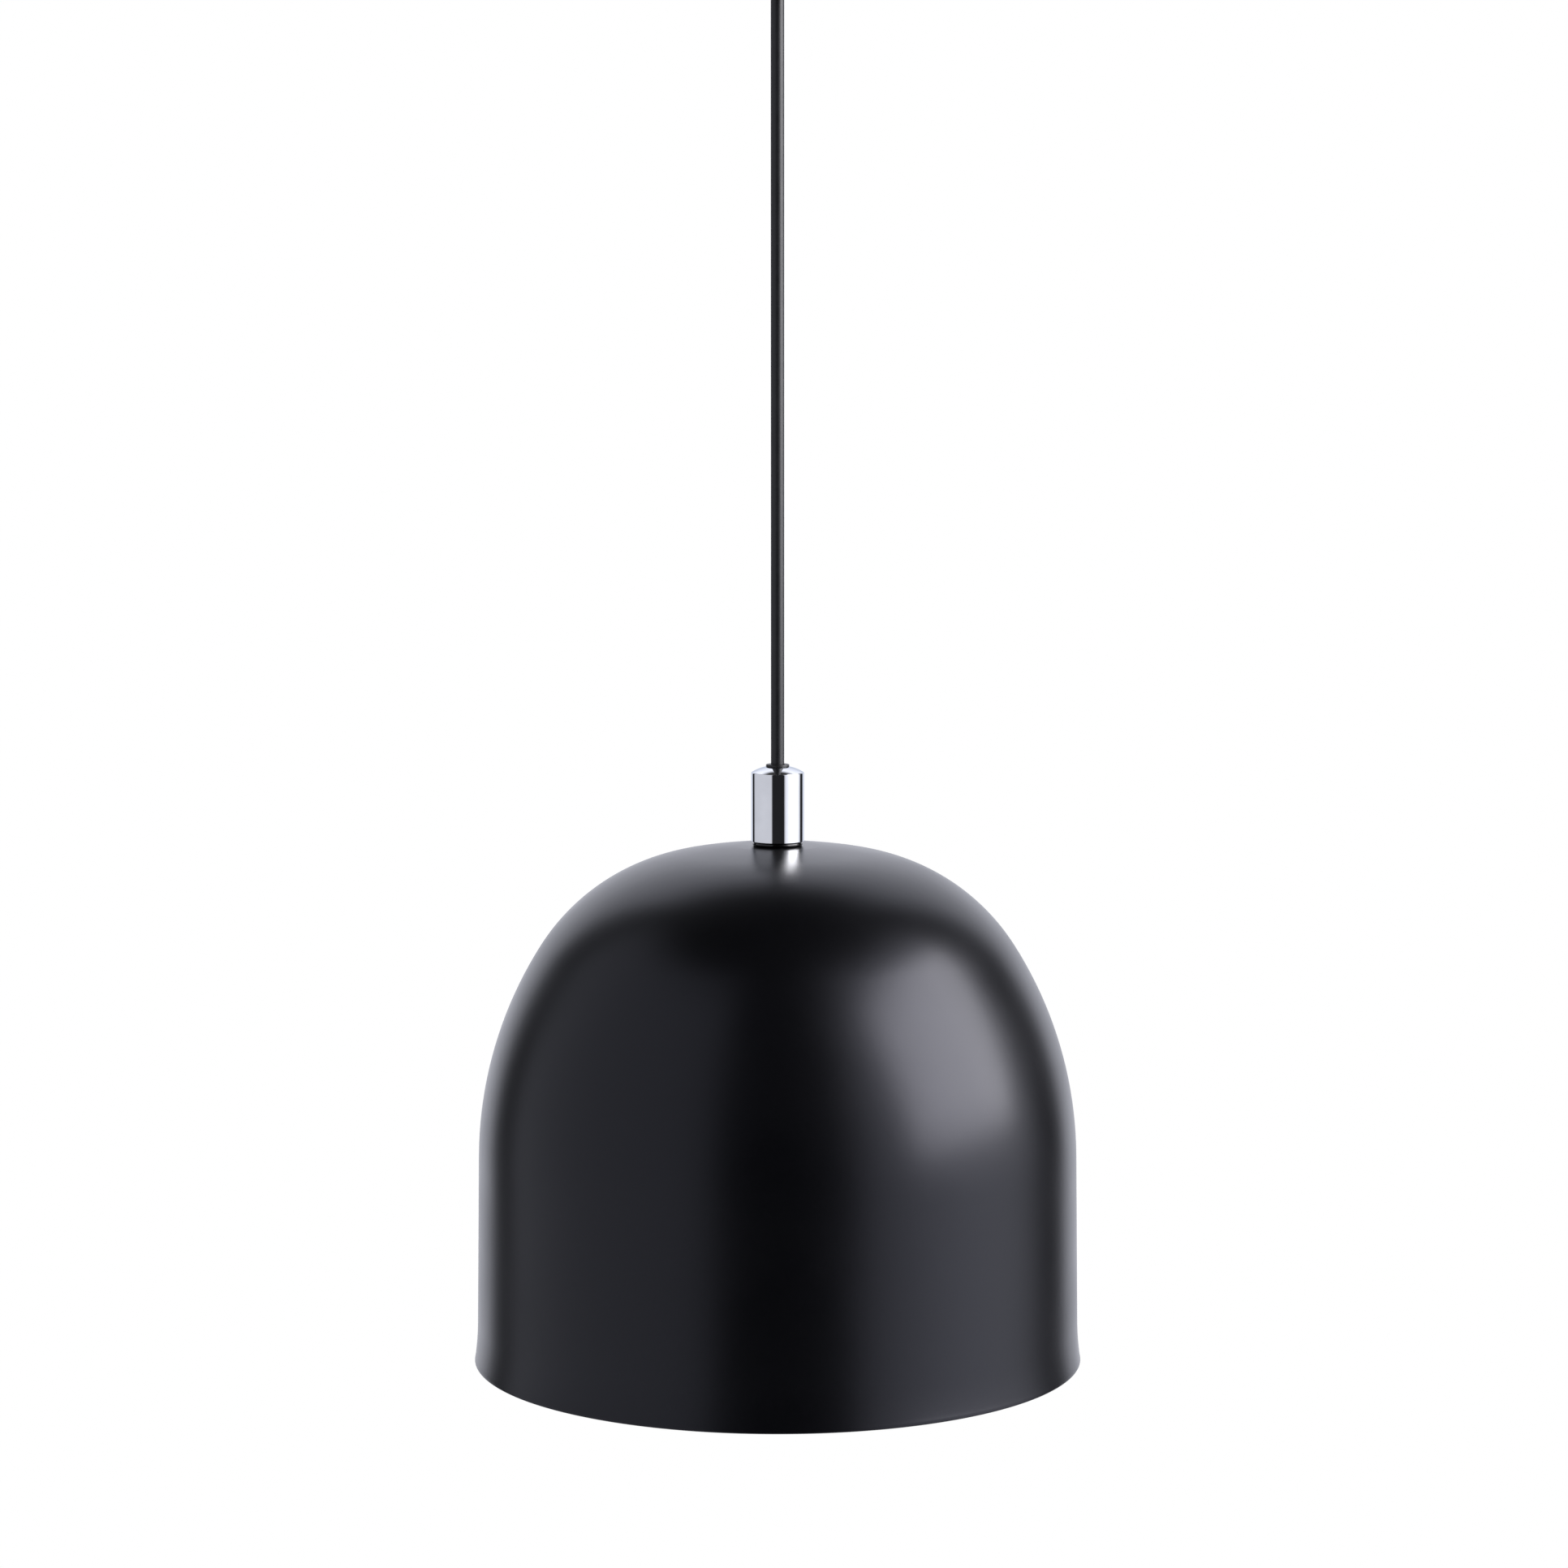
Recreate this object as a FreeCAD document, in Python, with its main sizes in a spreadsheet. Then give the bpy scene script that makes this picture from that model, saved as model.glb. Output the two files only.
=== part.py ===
import FreeCAD, Part
import math
import os
import Sketcher

# A pendant ceiling light: a spun dome shade that hangs on its cable from a ceiling cup.
# Millimetres. The origin is the middle of the ceiling plane, +Z points up.

SIZES = (
    ("drop", 558, "ceiling to the rim of the shade"),
    ("shade_dia", 220, "shade, outside, at the rim"),
    ("shade_height", 187, "rim to the flat seat on the crown"),
    ("shade_wall", 0.8, "sheet of the shade"),
    ("rim_flare", 1.2, "how far the rim stands out past the skirt"),
    ("flare_height", 14.2, "height of the flare at the rim"),
    ("skirt_taper", 0.8, "how far the skirt draws in up to the side arc"),
    ("skirt_height", 75.3, "rim to the foot of the side arc"),
    ("side_radius", 143.2, "side arc"),
    ("shoulder_radius", 76.3, "shoulder arc"),
    ("crown_radius", 197, "crown of the shade"),
    ("seat_dia", 30, "flat seat in the middle of the crown"),
    ("cord_dia", 4.8, "pendant cable"),
    ("core_dia", 1.6, "insulated core inside the cable"),
    ("cord_clearance", 0.05, "running clearance round the cable"),
    ("thread_dia", 10, "hollow thread of the nipple and of the canopy grip"),
    ("hole_clearance", 0.2, "clear hole round a thread or screw"),
    ("nut_across", 14, "hexagon nuts, across the flats"),
    ("nut_height", 3, "hexagon nuts"),
    ("screw_dia", 3, "small screws"),
    ("screw_head_dia", 5.6, "heads of the small screws"),
    ("screw_head_height", 1.8, "heads of the small screws"),
    ("screw_slot", 0.7, "driver slot, wide and deep"),
    ("side_screw_length", 7, "shanks of the side screws"),
    ("part_gap", 0.4, "small gap between neighbouring pieces"),
    ("ferrule_dia", 19, "ferrule, outside"),
    ("ferrule_height", 24.8, "straight side of the ferrule"),
    ("ferrule_rise", 2.1, "domed top of the ferrule"),
    ("ferrule_dome_radius", 15, "domed top of the ferrule"),
    ("ferrule_wall", 1.2, "ferrule wall"),
    ("ferrule_edge", 0.4, "rounded upper edge of the ferrule"),
    ("ferrule_foot_edge", 0.2, "rounded lower edge of the ferrule"),
    ("bush_dia", 8.4, "collar of the ferrule bush"),
    ("bush_collar", 0.9, "height of the bush collar"),
    ("bush_wall", 0.8, "wall of the bush stem"),
    ("bush_stem", 6, "length of the bush stem"),
    ("bush_play", 0.1, "bush to the edge and the hole of the ferrule"),
    ("bush_edge", 0.35, "rounded edge of the bush collar"),
    ("gasket_inset", 0.5, "gasket edge inside the ferrule edge"),
    ("gasket_height", 1.6, "gasket"),
    ("grip_dia", 13, "cord grip inside the ferrule"),
    ("grip_height", 24.4, "cord grip inside the ferrule"),
    ("grip_socket", 7, "threaded socket of the cord grip"),
    ("grip_chamber", 6, "space above the socket where the cores part"),
    ("grip_chamber_step", 1, "thread to the wall of that space"),
    ("grip_chamfer", 1, "chamfered top of the cord grip"),
    ("grip_screw_rise", 2.8, "clamping screw above that space"),
    ("cord_past_bush", 2.5, "cable below the foot of the bush"),
    ("nipple_wall", 1.5, "wall of the hollow nipple"),
    ("nipple_in_grip", 6.5, "nipple inside the cord grip"),
    ("nipple_chamfer", 0.5, "ends of the nipple"),
    ("washer_dia", 28, "large washer under the crown"),
    ("washer_height", 1.2, "large washer"),
    ("lock_washer_dia", 18, "toothed washer"),
    ("lock_washer_height", 0.8, "toothed washer"),
    ("tooth_depth", 1.6, "notches between the teeth"),
    ("holder_gap", 0.6, "nut to lampholder"),
    ("holder_dia", 38, "lampholder, outside"),
    ("cap_height", 24, "lampholder cap"),
    ("cap_neck_dia", 17, "neck of the cap"),
    ("cap_neck_height", 3, "neck of the cap"),
    ("cap_side", 12, "straight side of the cap"),
    ("cap_top_radius", 11, "rounding of the cap"),
    ("cap_thread", 6.5, "nipple inside the cap"),
    ("holder_wall", 1.8, "wall of the cap and the skirt"),
    ("skirt_length", 32, "lampholder skirt below the cap"),
    ("skirt_lip_inset", 1, "how far the skirt draws in at its foot"),
    ("skirt_lip_height", 5, "height of the drawn-in foot"),
    ("skirt_lip_radius", 0.8, "rounding of the foot"),
    ("spigot_height", 6, "spigot of the skirt inside the cap"),
    ("core_height", 10, "insulating core of the lampholder"),
    ("ledge_inset", 1, "ledge in the skirt that carries the core"),
    ("contact_sheet", 0.5, "contact strips"),
    ("contact_width", 5, "contact strips"),
    ("contact_reach", 4.5, "holder core down to the centre contact tip"),
    ("contact_tip", 4, "flat tip of the centre contact"),
    ("contact_rise", 1.5, "rise of the centre contact beside its tip"),
    ("contact_play", 0.5, "contact strips to the window in the core"),
    ("terminal_offset", 9.5, "lampholder terminals from the axis"),
    ("socket_shell_wall", 0.4, "threaded shell of the lampholder"),
    ("socket_shell_height", 24, "threaded shell of the lampholder"),
    ("socket_shell_lip", 4, "inner lip of that shell"),
    ("base_thread_dia", 26.2, "bulb thread, crests"),
    ("base_thread_depth", 1, "bulb thread"),
    ("base_pitch", 3.629, "bulb thread"),
    ("base_turns", 5, "bulb thread, whole turns"),
    ("base_clearance", 0.25, "bulb thread inside the lampholder shell"),
    ("base_collar", 4, "plain collar of the bulb base"),
    ("base_sheet", 0.4, "sheet of the bulb base"),
    ("base_runout", 0.4, "plain end of the thread"),
    ("collar_step", 0.1, "collar outside the thread, and glass inside it"),
    ("collar_ramp", 0.6, "slope from the collar to the thread"),
    ("bulb_dia", 60, "bulb glass"),
    ("bulb_length", 105, "bulb, glass to contact"),
    ("bulb_wall", 0.8, "bulb glass"),
    ("neck_arc", 40, "hollow arc between the bulb and its neck"),
    ("eyelet_dia", 9.6, "contact of the bulb"),
    ("eyelet_height", 1, "contact of the bulb"),
    ("eyelet_edge", 0.7, "rounded edge of the contact"),
    ("insulator_height", 3, "black insulator of the bulb base"),
    ("filament_dia", 1.8, "filament rod"),
    ("filament_length", 32, "filament rod"),
    ("filament_circle", 20, "circle of the filament rods"),
    ("wire_dia", 0.8, "wires that carry the filament rods"),
    ("post_dia", 3, "glass post between the rods"),
    ("stem_dia", 6, "glass stem above the rods"),
    ("stem_flare_length", 11, "flared top of the stem"),
    ("canopy_dia", 100, "ceiling cup, outside"),
    ("canopy_height", 51.5, "ceiling cup"),
    ("canopy_wall", 0.8, "ceiling cup"),
    ("canopy_corner", 5, "outer corner of the cup"),
    ("canopy_gap", 0.5, "ceiling to the edge of the cup"),
    ("bracket_width", 20, "ceiling bracket"),
    ("bracket_sheet", 1.5, "ceiling bracket"),
    ("bracket_depth", 16, "ceiling to the ends of the bracket's tabs"),
    ("bracket_gap", 0.4, "bracket corners to the cup"),
    ("bend_radius", 2.5, "outer bend of the bracket"),
    ("slot_spacing", 60, "ceiling screw slots, middle to middle"),
    ("slot_length", 12, "ceiling screw slots"),
    ("slot_width", 4.6, "ceiling screw slots"),
    ("side_screw_depth", 10, "ceiling to the side screws"),
    ("canopy_grip_dia", 17, "cord grip under the cup"),
    ("canopy_grip_height", 14, "cord grip under the cup"),
    ("canopy_grip_thread", 8, "thread of the canopy grip"),
    ("canopy_grip_lip", 1.2, "wall at the mouth of the canopy grip"),
    ("clamp_screw_inset", 1, "clamping screw below the face of the canopy grip"),
    ("swing_depth", 6, "mouth of the canopy grip to the swing centre"),
    ("swing_gap", 0.3, "clear space round the swinging cable"),
    ("flare_slope", 0.62, "flared mouth, widening per length"),
    ("block_length", 18, "terminal block"),
    ("block_width", 16, "terminal block"),
    ("block_height", 13, "terminal block"),
    ("pole_spacing", 9, "terminal tubes, middle to middle"),
    ("tube_dia", 4.6, "terminal tube"),
    ("tube_bore", 2.6, "terminal tube"),
    ("tube_screw_dia", 2.5, "terminal screws"),
    ("tube_screw_spacing", 8, "terminal screws along a tube"),
    ("tube_inset", 1, "ends of a tube inside the block"),
    ("stub_above_cup", 15, "sheathed cable above the floor of the cup"),
    ("earth_screw_x", 18.6, "earth screw from the middle of the bracket"),
    ("earth_screw_dia", 4, "earth screw"),
    ("earth_head_dia", 6.8, "earth screw head"),
    ("earth_head_height", 2.4, "earth screw head"),
    ("earth_washer_dia", 10, "earth washer"),
)

doc = FreeCAD.newDocument("PendantLight")
sheet = doc.addObject("Spreadsheet::Sheet", "Sizes")


class Length:
    """A length in millimetres, with the formula on the sheet that gives it."""

    def __init__(self, mm, formula):
        self.mm = mm
        self.formula = formula

    def __add__(self, other):
        other = asLength(other)
        return Length(self.mm + other.mm, f"({self.formula} + {other.formula})")

    def __sub__(self, other):
        other = asLength(other)
        return Length(self.mm - other.mm, f"({self.formula} - {other.formula})")

    def __rsub__(self, other):
        return asLength(other) - self

    def __mul__(self, factor):
        factor = asLength(factor)
        return Length(self.mm * factor.mm, f"({self.formula} * {factor.formula})")

    def __truediv__(self, factor):
        factor = asLength(factor)
        return Length(self.mm / factor.mm, f"({self.formula} / {factor.formula})")

    def __neg__(self):
        return Length(-self.mm, f"(0 - {self.formula})")

    __radd__ = __add__
    __rmul__ = __mul__


def asLength(value):
    """Take a plain number as a length too."""
    return value if isinstance(value, Length) else Length(value, f"{value:.10g}")


def root(value):
    return Length(math.sqrt(value.mm), f"sqrt({value.formula})")


class Sizes:
    """The driving dimensions, one attribute each."""


size = Sizes()
for row, (alias, number, meaning) in enumerate(SIZES, start=1):
    sheet.set(f"A{row}", meaning)
    sheet.set(f"B{row}", str(number))
    sheet.setAlias(f"B{row}", alias)
    setattr(size, alias, Length(number, f"Sizes.{alias}"))
doc.recompute()

pieces = []  # the sub-parts, in the order in which they are made

EAST, WEST = 0, 180  # directions of radial screws, degrees about Z
NORTH = 90
HALF_ROUND = "half round"


# ---------------------------------------------------------------- helpers

def keep(thing, name):
    """Name a finished sub-part."""
    thing.Label = name
    pieces.append(thing)
    return thing


def place(thing, x=0, y=0, z=0):
    """Tie a sub-part's place to the sheet."""
    for axis, value in zip("xyz", (x, y, z)):
        value = asLength(value)
        if value.formula != "0":
            thing.setExpression(f"Placement.Base.{axis}", value.formula)
    return thing


def newBody(name, x=0, y=0, z=0):
    body = keep(doc.addObject("PartDesign::Body", name), name)
    return place(body, x, y, z)


def sketchOn(body, role):
    """A sketch on one of the body's own origin planes."""
    sketch = body.newObject("Sketcher::SketchObject", body.Label + "_sketch")
    plane = [item for item in body.Origin.OriginFeatures if item.Role == role][0]
    sketch.AttachmentSupport = [(plane, "")]
    sketch.MapMode = "FlatFace"
    return sketch


def constrain(sketch, kind, value, *geometry):
    """Add a constraint whose value comes from the sheet."""
    value = asLength(value)
    number = sketch.addConstraint(Sketcher.Constraint(kind, *geometry, value.mm))
    sketch.setExpression(f"Constraints[{number}]", value.formula)


def pin(sketch, edge, end, x, y):
    """Hold one end of an edge at a place in the sketch."""
    constrain(sketch, "DistanceX", x, -1, 1, edge, end)
    constrain(sketch, "DistanceY", y, -1, 1, edge, end)


def arcBetween(start, end, radius):
    """Arc from start to end; a positive radius turns left, a negative one right.

    Returns the arc and the numbers of its first and last point in a sketch.
    """
    chord = end - start
    middle = (start + end) / 2
    left = FreeCAD.Vector(-chord.y, chord.x, 0).normalize()
    reach = math.sqrt(max(radius * radius - (chord.Length / 2) ** 2, 0))
    centre = middle + left * math.copysign(reach, radius)
    angles = [math.atan2(point.y - centre.y, point.x - centre.x) for point in (start, end)]
    circle = Part.Circle(centre, FreeCAD.Vector(0, 0, 1), abs(radius))
    if radius > 0:
        return Part.ArcOfCircle(circle, angles[0], angles[1]), 1, 2
    return Part.ArcOfCircle(circle, angles[1], angles[0]), 2, 1


def outline(sketch, points):
    """Draw a closed outline. A third value at a point makes the edge that ends there an arc:
    a radius, or HALF_ROUND for a half circle that turns left.
    """
    count = len(points)
    flat = [FreeCAD.Vector(asLength(p[0]).mm, asLength(p[1]).mm, 0) for p in points]
    edges = []
    for i in range(count):
        after = points[(i + 1) % count]
        start, end = flat[i], flat[(i + 1) % count]
        if len(after) == 3:
            half = after[2] == HALF_ROUND
            radius = (end - start).Length / 2 if half else asLength(after[2]).mm
            shape, first, last = arcBetween(start, end, radius)
        else:
            shape, first, last = Part.LineSegment(start, end), 1, 2
        edges.append((sketch.addGeometry(shape, False), first, last))
    for i in range(count):
        number, first, last = edges[i]
        before = edges[i - 1]
        sketch.addConstraint(Sketcher.Constraint("Coincident", before[0], before[2], number, first))
        pin(sketch, number, first, points[i][0], points[i][1])
        after = points[(i + 1) % count]
        if len(after) == 3 and after[2] == HALF_ROUND:
            sketch.addConstraint(Sketcher.Constraint("Symmetric", number, 1, number, 2, number, 3))
        elif len(after) == 3:
            bend = asLength(after[2])
            constrain(sketch, "Radius", bend if bend.mm > 0 else -bend, number)


def circleAt(sketch, x, y, radius):
    spot = FreeCAD.Vector(asLength(x).mm, asLength(y).mm, 0)
    number = sketch.addGeometry(Part.Circle(spot, FreeCAD.Vector(0, 0, 1), asLength(radius).mm), False)
    pin(sketch, number, 3, x, y)
    constrain(sketch, "Radius", radius, number)


def turn(body, points):
    """Turn an outline of radius and height about the body's Z axis."""
    sketch = sketchOn(body, "XZ_Plane")
    outline(sketch, points)
    turning = body.newObject("PartDesign::Revolution", body.Label + "_turning")
    turning.Profile = sketch
    turning.ReferenceAxis = (sketch, ["V_Axis"])
    turning.Angle = 360
    doc.recompute()
    return turning


def turned(name, z, points):
    body = newBody(name, z=z)
    turn(body, points)
    return body


def pad(body, role, points, length, symmetric=False):
    sketch = sketchOn(body, role)
    outline(sketch, points)
    return padSketch(body, sketch, length, symmetric)


def padSketch(body, sketch, length, symmetric=False):
    feature = body.newObject("PartDesign::Pad", body.Label + "_pad")
    feature.Profile = sketch
    if symmetric:
        feature.SideType = "Symmetric"
    feature.setExpression("Length", asLength(length).formula)
    doc.recompute()
    return feature


def cut(body, sketch, length=None, symmetric=False, flip=False):
    """Pocket a sketch: right through, or to a depth. It has to remove something."""
    before = body.Shape.Volume
    feature = body.newObject("PartDesign::Pocket", body.Label + "_pocket")
    feature.Profile = sketch
    feature.Reversed = flip
    if symmetric:
        feature.SideType = "Symmetric"
    if length is None:
        feature.Type = "ThroughAll"
    else:
        feature.setExpression("Length", asLength(length).formula)
    doc.recompute()
    if body.Shape.Volume > before - 1e-6:
        raise RuntimeError(f"the pocket in {body.Label} cuts nothing")
    return feature


def roundHole(body, role, x, y, radius, length=None, symmetric=False, flip=False):
    sketch = sketchOn(body, role)
    circleAt(sketch, x, y, radius)
    return cut(body, sketch, length, symmetric, flip)


def rings(feature, radius, height):
    """Names of a feature's full round edges at one radius and height."""
    found = []
    for number, edge in enumerate(feature.Shape.Edges, start=1):
        if not isinstance(edge.Curve, Part.Circle):
            continue
        centre = edge.Curve.Center
        sameSize = abs(edge.Curve.Radius - asLength(radius).mm) < 1e-3
        if sameSize and abs(centre.z - asLength(height).mm) < 1e-3 and math.hypot(centre.x, centre.y) < 1e-3:
            found.append(f"Edge{number}")
    return found


def soften(body, kind, feature, edges, radius):
    """Fillet or chamfer named edges of a feature."""
    softened = body.newObject("PartDesign::" + kind, f"{body.Label}_{kind.lower()}")
    softened.Base = (feature, edges)
    softened.setExpression("Radius" if kind == "Fillet" else "Size", asLength(radius).formula)
    doc.recompute()
    return softened


def aim(body, direction):
    """Turn a body so that its own Z points out from the axis, in a direction about Z."""
    outward = FreeCAD.Rotation(FreeCAD.Vector(0, 0, 1), direction)
    tip = FreeCAD.Rotation(FreeCAD.Vector(0, 1, 0), 90)
    body.Placement.Rotation = outward.multiply(tip)


def rod(name, radius, length, x=0, y=0, z=0):
    """A plain Part cylinder, not yet a sub-part."""
    cylinder = doc.addObject("Part::Cylinder", name)
    cylinder.setExpression("Radius", asLength(radius).formula)
    cylinder.setExpression("Height", asLength(length).formula)
    return place(cylinder, x, y, z)


def hexNut(name, z):
    """Hexagon nut on the hollow thread."""
    prism = doc.addObject("Part::Prism", name + "_prism")
    prism.Polygon = 6
    prism.setExpression("Circumradius", (size.nut_across / math.sqrt(3)).formula)
    prism.setExpression("Height", size.nut_height.formula)
    cone = doc.addObject("Part::Cone", name + "_cone")
    cone.setExpression("Radius1", (size.nut_across / 2).formula)
    cone.setExpression("Radius2", (size.nut_across / 2 + size.nut_height * 2).formula)
    cone.setExpression("Height", size.nut_height.formula)
    trimmed = doc.addObject("Part::Common", name + "_trimmed")
    trimmed.Base = prism
    trimmed.Tool = cone
    nut = doc.addObject("Part::Cut", name)
    nut.Base = trimmed
    nut.Tool = rod(name + "_bore", threadRadius, size.nut_height)
    keep(nut, name)
    return place(nut, z=z)


def slottedScrew(name, x, y, z, shank, length, headRadius, headHeight):
    """Screw whose head is at its foot, with a driver slot; its own Z runs into the thread."""
    body = newBody(name, x, y, z)
    turn(body, [(0, 0), (headRadius, 0), (headRadius, headHeight), (shank, headHeight),
                (shank, headHeight + length), (0, headHeight + length)])
    slot(body, headRadius)
    return body


def slot(body, reach, flip=True):
    """Driver slot in the face at the body's foot."""
    sketch = sketchOn(body, "XY_Plane")
    half = size.screw_slot / 2
    outline(sketch, [(-reach, -half), (reach, -half), (reach, half), (-reach, half)])
    cut(body, sketch, size.screw_slot, flip=flip)


def setScrew(name, z, direction, inner, length):
    """Headless radial screw with a driver slot at its outer end."""
    body = newBody(name, z=z)
    radius = size.screw_dia / 2
    turn(body, [(0, 0), (radius, 0), (radius, length), (0, length)])
    slot(body, radius)
    reach = inner + length
    angle = math.radians(direction)
    place(body, reach * round(math.cos(angle), 6), reach * round(math.sin(angle), 6), z)
    aim(body, direction + 180)
    return body


def roundedPath(points, name):
    """Straight runs joined by tangent arcs, each as large as its two runs allow."""
    corners = [FreeCAD.Vector(*point) for point in points]
    edges = []
    radii = []
    last = corners[0]
    for before, corner, after in zip(corners, corners[1:], corners[2:]):
        inward = corner - before
        outward = after - corner
        bend = inward.getAngle(outward)
        trim = 0.45 * min(inward.Length, outward.Length)
        radii.append(trim / math.tan(bend / 2))
        start = corner - inward.normalize() * trim
        end = corner + outward.normalize() * trim
        towards = ((start + end) / 2 - corner).normalize()
        middle = corner + towards * (radii[-1] / math.cos(bend / 2) - radii[-1])
        edges.append(Part.LineSegment(last, start).toShape())
        edges.append(Part.Arc(start, middle, end).toShape())
        last = end
    edges.append(Part.LineSegment(last, corners[-1]).toShape())
    print(name, "radii", ", ".join(f"{radius:.1f}" for radius in radii))
    return Part.Wire(edges)


def lead(name, points):
    """An insulated core along its route."""
    path = roundedPath(points, name)
    radius = size.core_dia.mm / 2
    heading = path.Edges[0].tangentAt(path.Edges[0].FirstParameter)
    section = Part.Wire(Part.makeCircle(radius, FreeCAD.Vector(*points[0]), heading))
    feature = doc.addObject("Part::Feature", name)
    feature.Shape = path.makePipeShell([section], True, False)
    expected = math.pi * radius * radius * path.Length
    if abs(feature.Shape.Volume / expected - 1) > 0.01:
        raise RuntimeError(f"{name} has the wrong volume")
    keep(feature, name)


# ---------------------------------------------------------------- shared places

threadRadius = size.thread_dia / 2
threadHole = threadRadius + size.hole_clearance
cordRadius = size.cord_dia / 2
cordBore = cordRadius + size.cord_clearance
screwRadius = size.screw_dia / 2
# the three cores lie against each other in the cable
coreCircle = size.core_dia / math.sqrt(3)
coreSpots = {
    "live": (-size.core_dia.mm / 2, -coreCircle.mm / 2),
    "neutral": (size.core_dia.mm / 2, -coreCircle.mm / 2),
    "earth": (0, coreCircle.mm),
}

rim = -size.drop
seat = rim + size.shade_height
ferruleFoot = seat + size.gasket_height
ferruleTop = ferruleFoot + size.ferrule_height + size.ferrule_rise
bushFoot = ferruleTop - size.bush_stem
washerFoot = seat - size.shade_wall - size.washer_height
lockWasherFoot = washerFoot - size.lock_washer_height
nutFoot = lockWasherFoot - size.nut_height
capFoot = nutFoot - size.holder_gap - size.cap_height
skirtFoot = capFoot - size.skirt_length
ledgeHeight = size.skirt_length - size.contact_sheet
coreFoot = skirtFoot + ledgeHeight
bulbFoot = coreFoot - size.contact_reach - size.bulb_length

canopyFoot = -size.canopy_gap - size.canopy_height
canopyFloor = canopyFoot + size.canopy_wall
gripFoot = canopyFoot - size.canopy_grip_height
swingCentre = gripFoot + size.swing_depth
ballRadius = cordRadius + size.swing_gap
stubFoot = swingCentre + ballRadius + size.swing_gap
stubTop = canopyFloor + size.stub_above_cup
bracketUnderside = -size.bracket_sheet


# ---------------------------------------------------------------- ceiling end

def ceilingBracket():
    """Steel strap with down-turned tabs and two slots for the ceiling screws."""
    inside = size.canopy_dia / 2 - size.canopy_wall
    halfWidth = size.bracket_width / 2
    half = root(inside * inside - halfWidth * halfWidth) - size.bracket_gap
    depth = size.bracket_depth
    sheetInside = half - size.bracket_sheet
    under = depth - size.bracket_sheet
    body = newBody("ceiling_bracket", z=-depth)
    strap = pad(body, "XZ_Plane", [
        (-half, 0), (-half, depth), (half, depth), (half, 0),
        (sheetInside, 0), (sheetInside, under), (-sheetInside, under), (-sheetInside, 0)],
        size.bracket_width, symmetric=True)
    bends = []
    for number, edge in enumerate(strap.Shape.Edges, start=1):
        middle = edge.CenterOfMass
        if abs(abs(middle.x) - half.mm) < 1e-3 and abs(middle.z - depth.mm) < 1e-3:
            bends.append(f"Edge{number}")
    soften(body, "Fillet", strap, bends, size.bend_radius)
    end = size.slot_width / 2
    straight = size.slot_length / 2 - end
    for side in (-1, 1):
        middle = size.slot_spacing * (side / 2)
        sketch = sketchOn(body, "XY_Plane")
        outline(sketch, [(middle + straight, -end), (middle + straight, end, HALF_ROUND),
                         (middle - straight, end), (middle - straight, -end, HALF_ROUND)])
        cut(body, sketch, flip=True)
    roundHole(body, "YZ_Plane", 0, depth - size.side_screw_depth, screwRadius, symmetric=True)
    roundHole(body, "XY_Plane", 0, 0, screwRadius, flip=True)
    roundHole(body, "XY_Plane", size.earth_screw_x, 0, size.earth_screw_dia / 2, flip=True)


def canopyCup():
    """Spun cup that covers the bracket."""
    outer = size.canopy_dia / 2
    wall = size.canopy_wall
    corner = size.canopy_corner
    body = turned("canopy_cup", canopyFoot, [
        (threadHole, 0), (outer - corner, 0), (outer, corner, corner), (outer, size.canopy_height),
        (outer - wall, size.canopy_height), (outer - wall, corner),
        (outer - corner, wall, wall - corner), (threadHole, wall)])
    height = size.canopy_height + size.canopy_gap - size.side_screw_depth
    roundHole(body, "YZ_Plane", 0, height, screwRadius + size.hole_clearance, symmetric=True)
    for name, direction in (("canopy_side_screw_right", EAST), ("canopy_side_screw_left", WEST)):
        reach = outer + size.screw_head_height
        side = round(math.cos(math.radians(direction)))
        screw = slottedScrew(name, reach * side, 0, -size.side_screw_depth, screwRadius,
                             size.side_screw_length, size.screw_head_dia / 2, size.screw_head_height)
        aim(screw, direction + 180)


def canopyGrip():
    """Cord grip screwed through the cup, with a flared mouth where the cable bends."""
    outer = size.canopy_grip_dia / 2
    height = size.canopy_grip_height
    top = height + size.canopy_grip_thread
    waist = ballRadius + size.swing_gap + size.cord_clearance
    mouth = waist + size.swing_depth * size.flare_slope
    lip = mouth + size.canopy_grip_lip
    step = size.swing_depth + ballRadius + size.swing_gap
    body = turned("canopy_cord_grip", gripFoot, [
        (mouth, 0), (lip, 0), (outer, size.swing_depth), (outer, height), (threadRadius, height),
        (threadRadius, top), (cordBore, top), (cordBore, step), (waist, step), (waist, size.swing_depth)])
    screwHeight = (step + height) / 2
    roundHole(body, "XZ_Plane", 0, screwHeight, screwRadius, length=outer)
    setScrew("grip_clamp_screw", gripFoot + screwHeight, NORTH, cordRadius,
             outer - cordRadius - size.clamp_screw_inset)
    hexNut("canopy_grip_nut", canopyFloor)


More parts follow.
